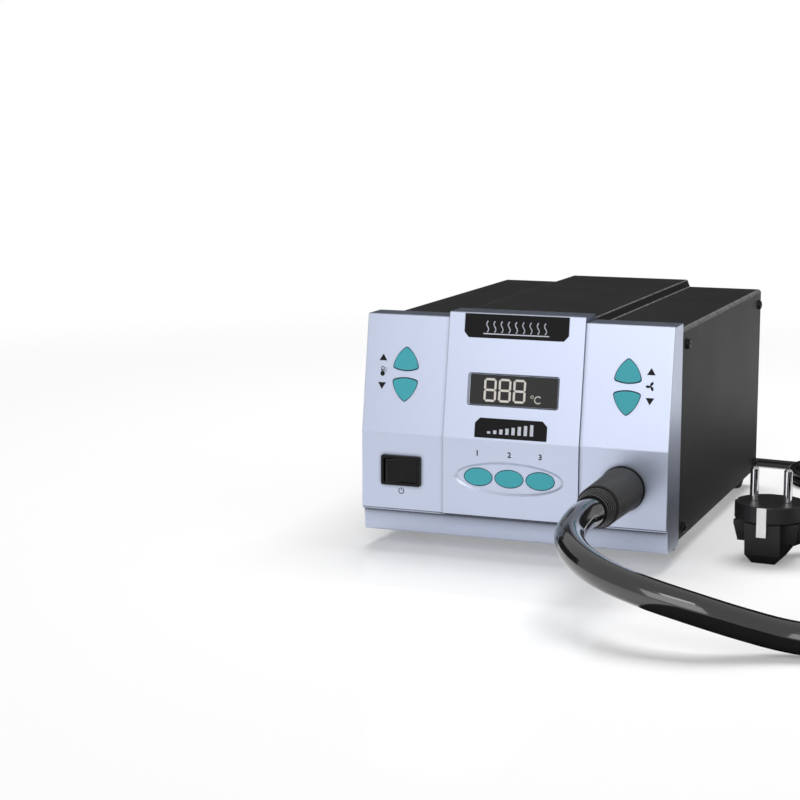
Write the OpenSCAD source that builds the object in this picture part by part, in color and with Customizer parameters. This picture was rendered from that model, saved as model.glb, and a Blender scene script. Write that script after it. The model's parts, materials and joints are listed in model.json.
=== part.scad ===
// Hot air rework station: a mains bench unit that blows air through a hose to a heated hand piece.
// Millimetres. The origin is on the table under the middle of the casing.
// +X is right as seen from the front, +Y runs to the rear and +Z is up.

/* [Casing] */
// Width of the sheet steel casing
casing_w = 176; // [170:1:200]
// Depth of the casing
casing_d = 225; // [215:1:260]
// Height of the casing's side walls
casing_h = 119; // [115:1:135]
// Thickness of the casing sheet
sheet_t = 1.2; // [0.8:0.1:1.6]
// Outer radius of the bends
bend_r = 2; // [1.5:0.25:3]
// Width of the raised ridge along the top
ridge_w = 78; // [60:1:100]
// Height of the ridge above the top
ridge_h = 4.6; // [3:0.2:6]
// Run of the ridge's sloping flanks
ridge_run = 1.8; // [1:0.2:4]
// Height of the bent flanges that take the screws
flange_h = 13; // [10:1:16]

/* [Feet] */
// Height of a foot
foot_h = 11; // [8:0.5:16]
// Diameter of a foot where it meets the casing
foot_top_d = 19; // [16:0.5:24]
// Diameter of a foot on the table
foot_low_d = 14.3; // [12:0.1:16]
// Distance from the casing's edges to a foot's centre
foot_inset = 13.8; // [12:0.2:18]
// How far further back the front feet stand, out of sight under the panel
foot_setback = 11; // [0:0.5:20]

/* [Front panel] */
// How far the moulded front panel overhangs the casing on each side
panel_side_over = 1.2; // [0:0.1:3]
// Thickness of the panel's wall
panel_t = 2.4; // [1.8:0.1:3]
// Depth of the panel in front of the casing, down to its flat lower face
panel_depth = 29.5; // [24:0.5:36]
// Height of the panel's crease above the table
crease_z = 67; // [62:0.5:74]
// Lean of the upper face, in degrees
lean = 9.1; // [6:0.1:12]
// How far the panel stands above the casing's top
panel_over = 3.9; // [2:0.1:6]
// Width of the raised middle zone
middle_w = 79; // [76:1:84]
// How far the middle zone stands proud
middle_rise = 1.2; // [0.6:0.1:1.6]
// How far the middle zone stands above the panel's top
middle_over = 3.1; // [1:0.1:4]
// Height of the chin's lower edge above the table
chin_low_z = 9.4; // [8:0.1:11]
// Height of the chin's upper edge above the table
chin_top_z = 23.6; // [20:0.1:27]
// Step from the lower face back to the chin
chin_step = 1.4; // [0.8:0.1:2]
// Run of the chin's slope
chin_run = 3.2; // [2:0.2:5]

/* [Buttons] */
// Width of a three-cornered button
pick_w = 14.7; // [12:0.1:17]
// Height of a three-cornered button from its corners to its tip
pick_h = 11.5; // [9:0.1:13]
// Bulge of a three-cornered button's sides
pick_bulge = 1.6; // [0.8:0.1:2]
// Distance of the three-cornered buttons' middle from the panel's end
pick_inset = 24.7; // [20:0.1:28]
// Height of the upper button's corners above the table
pick_up_z = 104.4; // [102:0.2:106]
// Height of the lower button's corners above the table
pick_down_z = 96.7; // [94:0.1:98]
// Width of an oval button
oval_w = 16.2; // [13:0.1:17]
// Height of an oval button
oval_h = 9.75; // [8:0.05:12]
// Distance between the oval buttons
oval_pitch = 18.1; // [17.6:0.1:20]
// Height of the oval buttons above the table
oval_z = 45.8; // [42:0.2:50]
// Width of the oval groove round the oval buttons
groove_w = 63.8; // [62:0.2:70]
// Height of the oval groove
groove_h = 19; // [16:0.2:22]
// Travel of a button
button_travel = 0.8; // [0.4:0.1:1]
// How far a button stands proud of the panel
button_proud = 1.3; // [1.1:0.1:2]
// Gap round a button
button_gap = 0.3; // [0.2:0.05:0.5]

/* [Display] */
// Width of the display window
window_w = 50.8; // [46:0.2:56]
// Height of the display window
window_h = 16.6; // [14:0.2:18]
// Thickness of the display window
window_t = 1.6; // [1:0.1:2]
// Height of the window's centre above the table
window_z = 94.7; // [92:0.1:97]
// Depth of the rows of parts behind the panel
board_depth = 9.5; // [9:0.5:13]
// Thickness of the circuit boards
board_t = 1.6; // [1:0.1:2]

/* [Power switch] */
// Width of the switch's frame
switch_w = 23.7; // [20:0.1:27]
// Height of the switch's frame
switch_h = 17.1; // [15:0.1:20]
// Width of the frame's rim
switch_rim = 1.55; // [1.2:0.05:2]
// Distance of the switch's middle from the panel's end
switch_inset = 24.1; // [20:0.1:28]
// Height of the switch's centre above the table
switch_z = 45.95; // [44:0.05:50]
// Angle that the rocker tilts each way
rocker_tilt = 11; // [8:0.5:12]

/* [Hose outlet] */
// Distance of the outlet's middle from the panel's end
outlet_inset = 25.1; // [24:0.1:29]
// Height of the outlet above the table
outlet_z = 45.2; // [43:0.1:50]
// Diameter of the sleeve at the panel
sleeve_d = 24.4; // [22:0.2:28]
// Diameter of the sleeve at its mouth
sleeve_end_d = 22.8; // [21:0.2:26]
// Length of the sleeve in front of the panel
sleeve_l = 50; // [40:1:60]
// Length of the ribbed nose that closes the sleeve round the hose
nose_l = 6; // [4:0.5:8]
// Distance from one rib of the sleeve to the next
rib_pitch = 2.1; // [1.8:0.1:4]
// Depth of the sleeve's ribs
rib_depth = 0.5; // [0.3:0.1:0.8]
// Diameter of the air passage
air_d = 9; // [7:0.5:10]

/* [Rear face] */
// Width of a vent slot
slot_w = 16.8; // [14:0.2:18]
// Height of a vent slot
slot_h = 4.6; // [4.2:0.1:5]
// Distance between the columns of slots
slot_pitch_x = 24.15; // [22:0.05:26]
// Distance between the rows of slots
slot_pitch_z = 6; // [5.8:0.1:7]
// Diameter of the fuse cap
fuse_cap_d = 14.6; // [13:0.2:16]
// Diameter of the earth socket's bore
socket_d = 4.1; // [4:0.05:4.3]
// Diameter of the cable gland's flange
gland_d = 13.4; // [12:0.2:16]
// Length of the gland's bend relief
relief_l = 18; // [14:1:24]

/* [Blower] */
// Diameter of the blower wheel
wheel_d = 52; // [44:1:54]
// Width of the blower wheel
wheel_w = 18; // [14:1:20]
// Number of blades
blades = 11; // [7:1:15]
// Height of the air channel at the end of the spiral
channel_h = 10.5; // [9:0.5:12]
// Thickness of the blower's walls
shell_t = 1.6; // [1.2:0.1:2]
// Diameter of the blower's motor
motor_d = 28; // [24:1:30]
// Length of the blower's motor
motor_l = 24; // [18:1:28]

/* [Hand piece] */
// Diameter of the grip
grip_d = 27; // [24:1:30]
// Length of the grip
grip_l = 116; // [100:2:130]
// Wall of the grip
grip_t = 2.2; // [1.6:0.1:2.6]
// Diameter of the heater tube
heater_d = 23; // [20:0.5:24]
// Length of the heater tube
heater_l = 70; // [60:1:90]
// Bore of the nozzle
nozzle_d = 6.8; // [4:0.2:8]

/* [Cords] */
// Diameter of the air hose
hose_d = 15.5; // [15:0.1:16]
// Diameter of the mains cord
cord_d = 5.5; // [5:0.1:6]
// Mean radius of the mains cord's outer turn
coil_r = 36; // [34:1:40]
// Distance between turns of the coil
coil_step = 5.7; // [5.6:0.1:6.4]
// Diameter of the plug's face
plug_d = 39.5; // [37:0.5:42]
// Height of the plug's face above the table
plug_h = 33; // [30:0.5:36]
// Distance between the plug's pins
pin_pitch = 19; // [18:0.5:20]
// Diameter of a plug pin
pin_d = 4.8; // [4:0.1:5]
// Length of a plug pin
pin_l = 19; // [16:0.5:20]

/* [Hidden] */
$fn = 48;

// Clearances
touch_gap = 0.1;
seat_gap = 0.3;
cut = 1;

// Casing, worked out
half_w = casing_w / 2;
front_y = -casing_d / 2;
rear_y = casing_d / 2;
base_z = foot_h;
top_z = foot_h + casing_h;
inner_x = half_w - sheet_t - touch_gap;
screw_d = 3;
screw_head_d = 6;
screw_head_h = 2;
side_screw_y = [front_y + 13.7, rear_y - 7.7];
side_screw_z = [base_z + 5.5, top_z - 9.4];
rear_lip_inset = 16.7;
front_lip_inset = 11.7;
foot_x = half_w - foot_inset;
rear_foot_y = rear_y - foot_inset + 0.3;
front_foot_y = foot_setback - rear_foot_y;

// Front panel, worked out
back_y = front_y - sheet_t;
face_y = front_y - panel_depth;
panel_w = casing_w + 2 * panel_side_over;
panel_top = top_z + panel_over;
pick_x = panel_w / 2 - pick_inset;
switch_x = panel_w / 2 - switch_inset;
oval_x = -0.6;
board_margin = 10.8;
channel_board_w = 2 * oval_pitch + oval_w + 2 * board_margin;
control_board_w = 2 * pick_x + 18;
control_board_h = 40;
channel_board_h = 30;
window_peg_x = window_w / 2 + 18.6;
board_front = panel_t + board_depth;
tact_h = 3.5;
plunger_h = 1.3;
flange_t = 1;
stem_gap = button_travel + 0.2;
window_seat = 1.2;

// Hose outlet, worked out
outlet_x = panel_w / 2 - outlet_inset;
nose_play = 0.8;
nose_rib = 0.5;
nose_ribs = 4;
hose_seat_y = face_y - 24;
spigot_y = face_y + 4;

// Blower, worked out: its outlet lines up with the sleeve
wheel_r = wheel_d / 2;
tongue_gap = 3.2;
tongue_r = wheel_r + tongue_gap;
blower_from_front = 127;
blower_y = front_y + blower_from_front;
blower_z = outlet_z + tongue_r + channel_h / 2;
wheel_gap = 3;
volute_w = wheel_w + 2 * wheel_gap + shell_t + 0.4;
volute_x = outlet_x - volute_w / 2;
outlet_reach = 52;
outlet_y = blower_y - outlet_reach;
wheel_x = volute_x + wheel_gap;
eye_r = 15;
blade_root_r = 13;
bracket_w = 32;
bracket_foot = 16;
bracket_over = 12;

// Rear face, worked out
fuse_inset = 20;
fuse_x = fuse_inset - half_w;
fuse_z = 104;
socket_inset = 37.1;
socket_x = socket_inset - half_w;
socket_z = 34.7;
gland_inset = 18.7;
gland_x = gland_inset - half_w;
gland_z = 34.5;
slot_x = -29.25;
slot_z = 90.8;

// Hand piece, worked out: it lies along +Y to the right of the station
grip_x = 352;
grip_y = -62;
grip_z = grip_d / 2 + 0.2;
tube_y = grip_y + grip_l;
nozzle_y = tube_y + heater_l;

// Plug, worked out
plug_x = 135;
plug_y = -87.5;
plug_turn = -4;
outlet_turn = 52;
cord_out_z = 12;
plug_boot_l = 26;
pin_root_l = 14;

// Route of the air hose: out of the sleeve, down to the table and round one loose turn
hose_r = hose_d / 2;
hose_lead = [[outlet_x, -166, outlet_z], [outlet_x, -192, outlet_z], [61.5, -217, 44], [63.5, -241, 40],
    [74, -261, 36], [91, -276, 32], [112.5, -284.5, 27.8], [136, -285.5, 22.4], [158, -279, 15.5],
    [179, -272, 9.8], [203, -268.5, 7.75], [237, -268, 7.75]];
loop_at = [272, -188];
loop_r = 80;
loop_turn = 450;
loop_parts = 18;
climb_from = 250;
climb_over = 90;
climb_h = hose_d + 0.4;
hose_tail = [[352, -157, 22.2], [352, -128, 17], [352, -102, 13.7], [352, -84.1, 13.7]];

// Route of the mains cord: down behind the casing, along the table, round the coil and to the plug
cord_r = cord_d / 2;
cord_lead = [[gland_x, 118, gland_z], [gland_x, 134, gland_z], [-67.5, 147, 32], [-62, 158, 26.5],
    [-53.5, 166.5, 19.5], [-43, 172.5, 12.8], [-31, 177, 7.4], [-17.5, 180, 4], [-4, 181.5, 2.75],
    [12, 182, 2.75], [28, 181.5, 2.75], [44, 180, 2.75], [60, 178, 2.75], [76, 175.8, 2.75],
    [92, 173.8, 2.75], [108, 172.2, 2.75], [124, 171.2, 2.75], [142, 171, 2.75]];
coil_at = [142, 135];
coil_lift = 5.6;
cord_tail = [[178, 135, 8.35], [178, 121, 7.2], [178.3, 107, 4.4], [178.8, 93, 2.9], [179.6, 78, 2.75],
    [180.6, 63, 2.75], [181.6, 48, 2.75], [182.4, 33, 2.75], [182.8, 18, 2.75], [182.4, 4, 2.75],
    [180.6, -10, 3.6], [177.4, -23, 6], [172.4, -35, 9.2], [165.6, -46.5, 11.5], [157.2, -59.1, 12], [153.6, -63.7, 12]];

// Outlines
function unit(v) = v / norm(v);

// One corner b between a and c, rounded to radius r
function corner(a, b, c, r, n) = r == 0 ? [b] :
    let (u = unit(a - b), v = unit(c - b), half = acos(u * v) / 2, mid = b + unit(u + v) * r / sin(half),
        s = b + u * r / tan(half) - mid, e = b + v * r / tan(half) - mid, turn = 180 - 2 * half,
        way = sign(s.x * e.y - s.y * e.x))
    [for (i = [0:n]) let (k = way * turn * i / n) mid + [s.x * cos(k) - s.y * sin(k), s.x * sin(k) + s.y * cos(k)]];

// A closed outline with its corners rounded: r is one radius, or one for each corner
function softened(pts, r, n = 3) = [for (i = [0:len(pts) - 1])
    each corner(pts[(i + len(pts) - 1) % len(pts)], pts[i], pts[(i + 1) % len(pts)], is_list(r) ? r[i] : r, n)];

function oblong(w, h, r) = softened([[-w / 2, -h / 2], [w / 2, -h / 2], [w / 2, h / 2], [-w / 2, h / 2]], r);

function ellipse(w, h, n) = [for (i = [0:n - 1]) [w / 2 * cos(360 * i / n), h / 2 * sin(360 * i / n)]];

// The side from p to q of a three-cornered outline, without q, bulging to its right
function bowed(p, q, bulge, n = 6) = [for (i = [0:n - 1]) let (t = i / n, d = unit(q - p))
    p + (q - p) * t + [d.y, -d.x] * bulge * 4 * t * (1 - t)];

// Three-cornered button outline with its tip up, grown by g
function pick(g = 0) = let (w = pick_w / 2 + g, low = -g, tip = pick_h + g, r = 1.1 + g)
    softened(concat(bowed([-w, low], [w, low], pick_bulge), bowed([w, low], [0, tip], pick_bulge),
        bowed([0, tip], [-w, low], pick_bulge)), [for (i = [0:17]) i % 6 == 0 ? r * 0.9 : 0]);

module slab(w, d, h) translate([-w / 2, -d / 2, 0]) cube([w, d, h]);

module rod(d, l) cylinder(d = d, h = l);

module along_y(x, y, z) translate([x, y, z]) rotate([-90, 0, 0]) children();

module along_minus_y(x, y, z) translate([x, y, z]) rotate([90, 0, 0]) children();

module along_x(x, y, z) translate([x, y, z]) rotate([0, 90, 0]) children();

module both_sides() {
    children();
    mirror([1, 0, 0]) children();
}

// A prism along X whose outline is drawn in Y and Z
module side_prism(w, pts) translate([-w / 2, 0, 0]) rotate([90, 0, 90]) linear_extrude(w) polygon(pts);

// Place on the front panel: local Z points out of the face
module on_upper_face(x, z) translate([x, face_y + (z - crease_z) * tan(lean), z]) rotate([90 - lean, 0, 0]) children();

module on_lower_face(x, z) translate([x, face_y, z]) rotate([90, 0, 0]) children();

// Tubes along a route
function tangent(p, i) = unit(p[min(i + 1, len(p) - 1)] - p[max(i - 1, 0)]);

// The sides of the rings, each turned as little as can be from the one before
function turned(p, i = 0, v = [0, 0, 1]) = i == len(p) ? [] :
    let (t = tangent(p, i), n = unit(v - (v * t) * t)) concat([n], turned(p, i + 1, n));

module tube(p, d, sides) {
    n = turned(p);
    rings = [for (i = [0:len(p) - 1]) for (k = [0:sides - 1])
        p[i] + d / 2 * (cos(360 * k / sides) * n[i] + sin(360 * k / sides) * cross(tangent(p, i), n[i]))];
    last = (len(p) - 1) * sides;
    polyhedron(rings, concat([[for (k = [0:sides - 1]) k]], [[for (k = [sides - 1:-1:0]) last + k]],
        [for (i = [0:len(p) - 2]) for (k = [0:sides - 1])
            let (a = i * sides + k, b = i * sides + (k + 1) % sides) [a, a + sides, b + sides, b]]));
}

// Casing
function casing_outline(inset, low) = let (x = half_w - inset, r = ridge_w / 2 - inset, k = ridge_run)
    softened([[-x, low], [x, low], [x, top_z - inset], [r + k, top_z - inset], [r, top_z + ridge_h - inset],
        [-r, top_z + ridge_h - inset], [-r - k, top_z - inset], [-x, top_z - inset]],
        [0, 0, bend_r - inset * 0.7, 0.8, 0.8, 0.8, 0.8, bend_r - inset * 0.7]);

module across_y(y0, y1) translate([0, y1, 0]) rotate([90, 0, 0]) linear_extrude(y1 - y0) children();

module side_screw_holes(d) both_sides() for (y = side_screw_y) for (z = side_screw_z)
    along_x(inner_x - 4, y, z) rod(d, 8);

module chassis_tray() color([0.62, 0.64, 0.66]) difference() {
    union() {
        translate([0, 0, base_z]) slab(2 * inner_x, casing_d - 2 * sheet_t - 2 * touch_gap, sheet_t);
        both_sides() translate([inner_x - sheet_t, front_y + sheet_t + touch_gap, base_z])
            cube([sheet_t, casing_d - 2 * sheet_t - 2 * touch_gap, flange_h]);
    }
    side_screw_holes(screw_d + 0.4);
    for (x = [-foot_x, foot_x]) for (y = [front_foot_y, rear_foot_y]) translate([x, y, base_z - cut]) rod(screw_d + 0.4, 4);
}

// A vent slot with round ends
module slot_shape() {
    square([slot_w - slot_h, slot_h], center = true);
    for (s = [-1, 1]) translate([s * (slot_w - slot_h) / 2, 0]) circle(d = slot_h);
}

module rear_panel() color([0.11, 0.11, 0.12]) difference() {
    union() {
        across_y(rear_y - sheet_t, rear_y) polygon(casing_outline(sheet_t + touch_gap, base_z));
        both_sides() translate([inner_x - sheet_t, rear_y - 16, base_z + flange_h + 2])
            cube([sheet_t, 16 - sheet_t, casing_h - flange_h - 10]);
        translate([0, rear_y - 9, base_z + sheet_t]) slab(2 * (inner_x - rear_lip_inset), 16, sheet_t);
    }
    side_screw_holes(screw_d + 0.4);
    for (i = [0:3]) for (k = [0:3])
        translate([slot_x + i * slot_pitch_x, rear_y + cut, slot_z + k * slot_pitch_z])
            rotate([90, 0, 0]) linear_extrude(sheet_t + 2 * cut) slot_shape();
    along_y(fuse_x, rear_y - 3, fuse_z) rod(fuse_cap_d - 2.4, 6);
    along_y(socket_x, rear_y - 3, socket_z) rod(7.2, 6);
    along_y(gland_x, rear_y - 3, gland_z) rod(gland_d - 2.6, 6);
}

module top_cover() color([0.11, 0.11, 0.12]) difference() {
    across_y(front_y, rear_y) polygon(casing_outline(0, base_z));
    across_y(front_y - cut, rear_y + cut) polygon(casing_outline(sheet_t, base_z - cut));
    side_screw_holes(screw_d + 0.4);
}

module front_frame() color([0.62, 0.64, 0.66]) difference() {
    union() {
        across_y(back_y, front_y) polygon(casing_outline(sheet_t + 1.4, base_z + 2));
        both_sides() translate([inner_x - sheet_t, front_y - touch_gap, base_z + flange_h + 2])
            cube([sheet_t, 20, casing_h - flange_h - 10]);
        translate([0, front_y + 3.5, base_z + sheet_t]) slab(2 * (inner_x - front_lip_inset), 7.4, sheet_t);
    }
    across_y(back_y - cut, front_y + cut)
        polygon(oblong_at(0, (chin_top_z + top_z) / 2 - 2, 2 * (half_w - 15), top_z - chin_top_z - 18, 4));
    side_screw_holes(screw_d + 0.4);
    panel_screw_places() along_y(0, back_y - cut, 0) rod(screw_d + 0.4, 4);
}

function oblong_at(x, z, w, h, r) = [for (p = oblong(w, h, r)) p + [x, z]];

// The four screws that hold the front panel, from behind the frame
module panel_screw_places() for (x = [-half_w + 8.5, half_w - 8.5]) for (z = [base_z + 8, top_z - 8])
    translate([x, 0, z]) children();

// A pan head screw along +Z with its head above z = 0
module pan_screw(d, l) {
    translate([0, 0, -l]) rod(d, l);
    rotate_extrude() polygon([[0, 0], [screw_head_d / 2, 0], [screw_head_d / 2, 0.8], [screw_head_d / 2 - 0.9, screw_head_h],
        [0.9, screw_head_h], [0.9, 1], [0, 1]]);
}

module cover_screws() color([0.05, 0.05, 0.05]) both_sides()
    for (y = side_screw_y) for (z = side_screw_z) along_x(half_w, y, z) pan_screw(screw_d, 6);

module panel_screws() color([0.7, 0.7, 0.72]) panel_screw_places()
    along_y(0, front_y, 0) pan_screw(screw_d - 0.3, 12);

module feet() color([0.06, 0.06, 0.06]) for (x = [-foot_x, foot_x]) for (y = [front_foot_y, rear_foot_y])
    translate([x, y, 0]) rotate_extrude() polygon([[screw_head_d / 2 + 0.6, 0], [foot_low_d / 2 - 0.8, 0], [foot_low_d / 2, 0.8],
        [foot_top_d / 2, foot_h - 1.5], [foot_top_d / 2, foot_h], [screw_d / 2 + 0.2, foot_h],
        [screw_d / 2 + 0.2, foot_h / 2], [screw_head_d / 2 + 0.6, foot_h / 2]]);

module feet_screws() color([0.7, 0.7, 0.72]) for (x = [-foot_x, foot_x]) for (y = [front_foot_y, rear_foot_y])
    translate([x, y, 0]) {
        translate([0, 0, foot_h / 2]) rotate([180, 0, 0]) pan_screw(screw_d, foot_h / 2 + 5);
        translate([0, 0, base_z + sheet_t]) difference() {
            cylinder(d = 6.2, h = 2.4, $fn = 6);
            translate([0, 0, -cut]) rod(screw_d + 0.05, 5);
        }
    }

// Front panel
function panel_outline(rise, over, inset) = let (y = face_y - rise + inset, low = chin_top_z + (inset > 0 ? -cut : 0),
        top = panel_top + over - inset, back = back_y + (inset > 0 ? cut : 0))
    softened([[back, low], [y, low], [y, crease_z], [y + (top - crease_z) * tan(lean), top], [back, top]],
        [0, inset > 0 ? 0 : 0.7, 6, inset > 0 ? 0.4 : 1.4, inset > 0 ? 0 : 0.5]);

function chin_outline(inset) = let (y = face_y + chin_step + inset, low = chin_low_z + inset,
        back = back_y + (inset > 0 ? cut : 0))
    softened([[back, low], [y + chin_run, low], [y, chin_top_z + 0.01], [back, chin_top_z + 0.01]], [0, inset > 0 ? 0.5 : 1.6, 0, 0]);

// A peg behind the panel that carries a board: the wall there stands proud by the rise
module peg(x, v, rise) translate([x, v, -board_front]) rod(5, board_front - panel_t + rise + 0.2);

module front_panel() color([0.68, 0.71, 0.79]) difference() {
    union() {
        difference() {
            union() {
                side_prism(panel_w, panel_outline(0, 0, 0));
                side_prism(middle_w, panel_outline(middle_rise, middle_over, 0));
                side_prism(panel_w, chin_outline(0));
            }
            side_prism(panel_w - 2 * panel_t, panel_outline(0, 0, panel_t));
            side_prism(middle_w - 2 * panel_t, panel_outline(middle_rise, middle_over, panel_t));
            side_prism(panel_w - 2 * panel_t, chin_outline(panel_t));
        }
        // Bosses for the panel screws, and pegs for the boards
        intersection() {
            panel_screw_places() along_minus_y(0, back_y, 0) rod(7, panel_depth);
            side_prism(panel_w - 2, concat([[back_y, chin_low_z + 1], [face_y + chin_step + chin_run + 1, chin_low_z + 1],
                [face_y + chin_step + 1, chin_top_z], [face_y + 1, chin_top_z + 1], [face_y + 1, crease_z]],
                [[face_y + 1 + (panel_top - 1 - crease_z) * tan(lean), panel_top - 1], [back_y, panel_top - 1]]));
        }
        on_upper_face(0, window_z) for (x = [-window_peg_x, window_peg_x]) for (v = [-14, 14]) peg(x, v, 0);
        on_lower_face(0, oval_z) for (x = [4 - channel_board_w / 2, channel_board_w / 2 - 4]) for (v = [-14, 8]) peg(x, v, middle_rise);
    }
    panel_screw_places() along_minus_y(0, back_y + cut, 0) rod(screw_d - 0.25, 13);
    for (s = [-1, 1]) {
        on_upper_face(s * pick_x, pick_up_z) through_hole() polygon(pick(button_gap));
        on_upper_face(s * pick_x, pick_down_z) rotate(180) through_hole() polygon(pick(button_gap));
    }
    for (i = [-1:1]) on_lower_face(oval_x + i * oval_pitch, oval_z) through_hole()
        polygon(ellipse(oval_w + 2 * button_gap, oval_h + 2 * button_gap, 32));
    // The oval groove round the three buttons
    on_lower_face(oval_x, oval_z) translate([0, 0, middle_rise - 0.5]) linear_extrude(2) difference() {
        polygon(ellipse(groove_w, groove_h, 48));
        polygon(ellipse(groove_w - 2.2, groove_h - 2.2, 48));
    }
    on_upper_face(0, window_z) {
        translate([0, 0, middle_rise - window_seat - window_t]) linear_extrude(6) polygon(oblong(window_w + 2 * touch_gap, window_h + 2 * touch_gap, 1));
        translate([0, 0, middle_rise - window_seat]) linear_extrude(6) polygon(oblong(window_w + 1.6, window_h + 1.2, 1));
        through_hole() polygon(oblong(window_w - 4, window_h - 3, 0.8));
    }
    on_lower_face(-switch_x, switch_z) through_hole() polygon(oblong(switch_w - 1.2, switch_h - 1.2, 0.8));
    on_lower_face(outlet_x, outlet_z) translate([0, 0, -panel_t - cut]) rod(sleeve_d - 4, panel_t + 3);
}

module through_hole() translate([0, 0, -panel_t - cut]) linear_extrude(panel_t + 4) children();

// Buttons. Local Z points out of the face, and the rise is that of the zone that the button stands in.
module button_solid(rise, stem_v) {
    translate([0, 0, -panel_t - seat_gap - 0.01]) linear_extrude(panel_t + seat_gap + rise + button_proud - 0.5) children(0);
    translate([0, 0, rise + button_proud - 0.52]) linear_extrude(0.52) children(1);
    translate([0, 0, -panel_t - seat_gap - flange_t]) linear_extrude(flange_t) children(2);
    translate([0, stem_v, -board_front + tact_h + plunger_h + stem_gap])
        rod(4, board_front - tact_h - plunger_h - stem_gap - panel_t - seat_gap - flange_t / 2);
}

module pick_button(side, z, flip) color([0.30, 0.63, 0.67]) on_upper_face(side * pick_x, z) rotate(flip ? 180 : 0)
    button_solid(0, pick_h * 0.4) {
        polygon(pick());
        polygon(pick(-0.45));
        polygon(pick(1.4));
    }

module oval_button(i) color([0.30, 0.63, 0.67]) on_lower_face(oval_x + i * oval_pitch, oval_z) button_solid(middle_rise, 0) {
    polygon(ellipse(oval_w, oval_h, 32));
    polygon(ellipse(oval_w - 0.9, oval_h - 0.9, 32));
    polygon(oblong(oval_w + 0.8, oval_h + 2, 3));
}

module temp_up_button() pick_button(-1, pick_up_z, false);
module temp_down_button() pick_button(-1, pick_down_z, true);
module air_up_button() pick_button(1, pick_up_z, false);
module air_down_button() pick_button(1, pick_down_z, true);
module channel_1_button() oval_button(-1);
module channel_2_button() oval_button(0);
module channel_3_button() oval_button(1);

// Display and boards
module display_window() color([0.2, 0.2, 0.2]) on_upper_face(0, window_z)
    translate([0, 0, middle_rise - window_seat - window_t + 0.02]) linear_extrude(window_t) polygon(oblong(window_w, window_h, 1));

module display_module() color([0.1, 0.1, 0.1]) on_upper_face(0, window_z)
    translate([0, 0, -board_front]) linear_extrude(board_front - window_t - window_seat + middle_rise - seat_gap)
        polygon(oblong(window_w - 5, window_h - 4, 0.6));

module control_board() color([0.10, 0.35, 0.18]) on_upper_face(0, window_z)
    translate([0, (pick_up_z + pick_down_z) / 2 - window_z, -board_front - board_t]) linear_extrude(board_t)
        polygon(oblong(control_board_w, control_board_h, 2));

module channel_board() color([0.10, 0.35, 0.18]) on_lower_face(oval_x, oval_z)
    translate([0, -3, -board_front - board_t]) linear_extrude(board_t) polygon(oblong(channel_board_w, channel_board_h, 2));

module tact() {
    slab(6, 6, tact_h);
    rod(3.4, tact_h + plunger_h);
}

module tact_switches() color([0.12, 0.12, 0.13]) {
    for (s = [-1, 1]) {
        on_upper_face(s * pick_x, pick_up_z) translate([0, pick_h * 0.4, -board_front]) tact();
        on_upper_face(s * pick_x, pick_down_z) translate([0, -pick_h * 0.4, -board_front]) tact();
    }
    for (i = [-1:1]) on_lower_face(oval_x + i * oval_pitch, oval_z) translate([0, 0, -board_front]) tact();
}

// Power switch: the rocker turns on an upright pin line behind the panel's face
rocker_r = switch_w / 2 - switch_rim - 0.35;
rocker_axis = 2.6;
switch_body_d = 15;

module switch_body() color([0.06, 0.06, 0.06]) on_lower_face(-switch_x, switch_z) difference() {
    union() {
        linear_extrude(1.6) polygon(oblong(switch_w, switch_h, 1));
        translate([0, 0, -switch_body_d]) linear_extrude(switch_body_d) polygon(oblong(switch_w - 1.6, switch_h - 1.6, 0.6));
        for (x = [-6, 0, 6]) translate([x, 0, -switch_body_d - 7]) slab(0.8, 4.8, 7.2);
    }
    translate([0, 0, -switch_body_d + 1.5]) linear_extrude(30)
        polygon(oblong(switch_w - 2 * switch_rim, switch_h - 2 * switch_rim, 0.4));
}

module power_rocker() color([0.1, 0.1, 0.1]) on_lower_face(-switch_x, switch_z) translate([0, 0, -rocker_axis]) rotate([0, rocker_tilt, 0])
    intersection() {
        translate([0, -(switch_h / 2 - switch_rim - seat_gap), 0]) rotate([-90, 0, 0]) rod(2 * rocker_r, switch_h - 2 * switch_rim - 2 * seat_gap);
        rotate([90, 0, 0]) translate([0, 0, -switch_h / 2]) linear_extrude(switch_h)
            polygon([[0, 3.4], [rocker_r + cut, 3.4 + (rocker_r + cut) * tan(rocker_tilt)], [rocker_r + cut, -3],
                [4, -6], [-4, -6], [-rocker_r - cut, -3], [-rocker_r - cut, 3.4 + (rocker_r + cut) * tan(rocker_tilt)]]);
    }

// Hose outlet
ribs = floor((sleeve_l - 6) / rib_pitch);
nose_root_r = sleeve_end_d / 2 - 0.9;
nose_tip_r = hose_r + nose_play + 0.4 + nose_rib;

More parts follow.
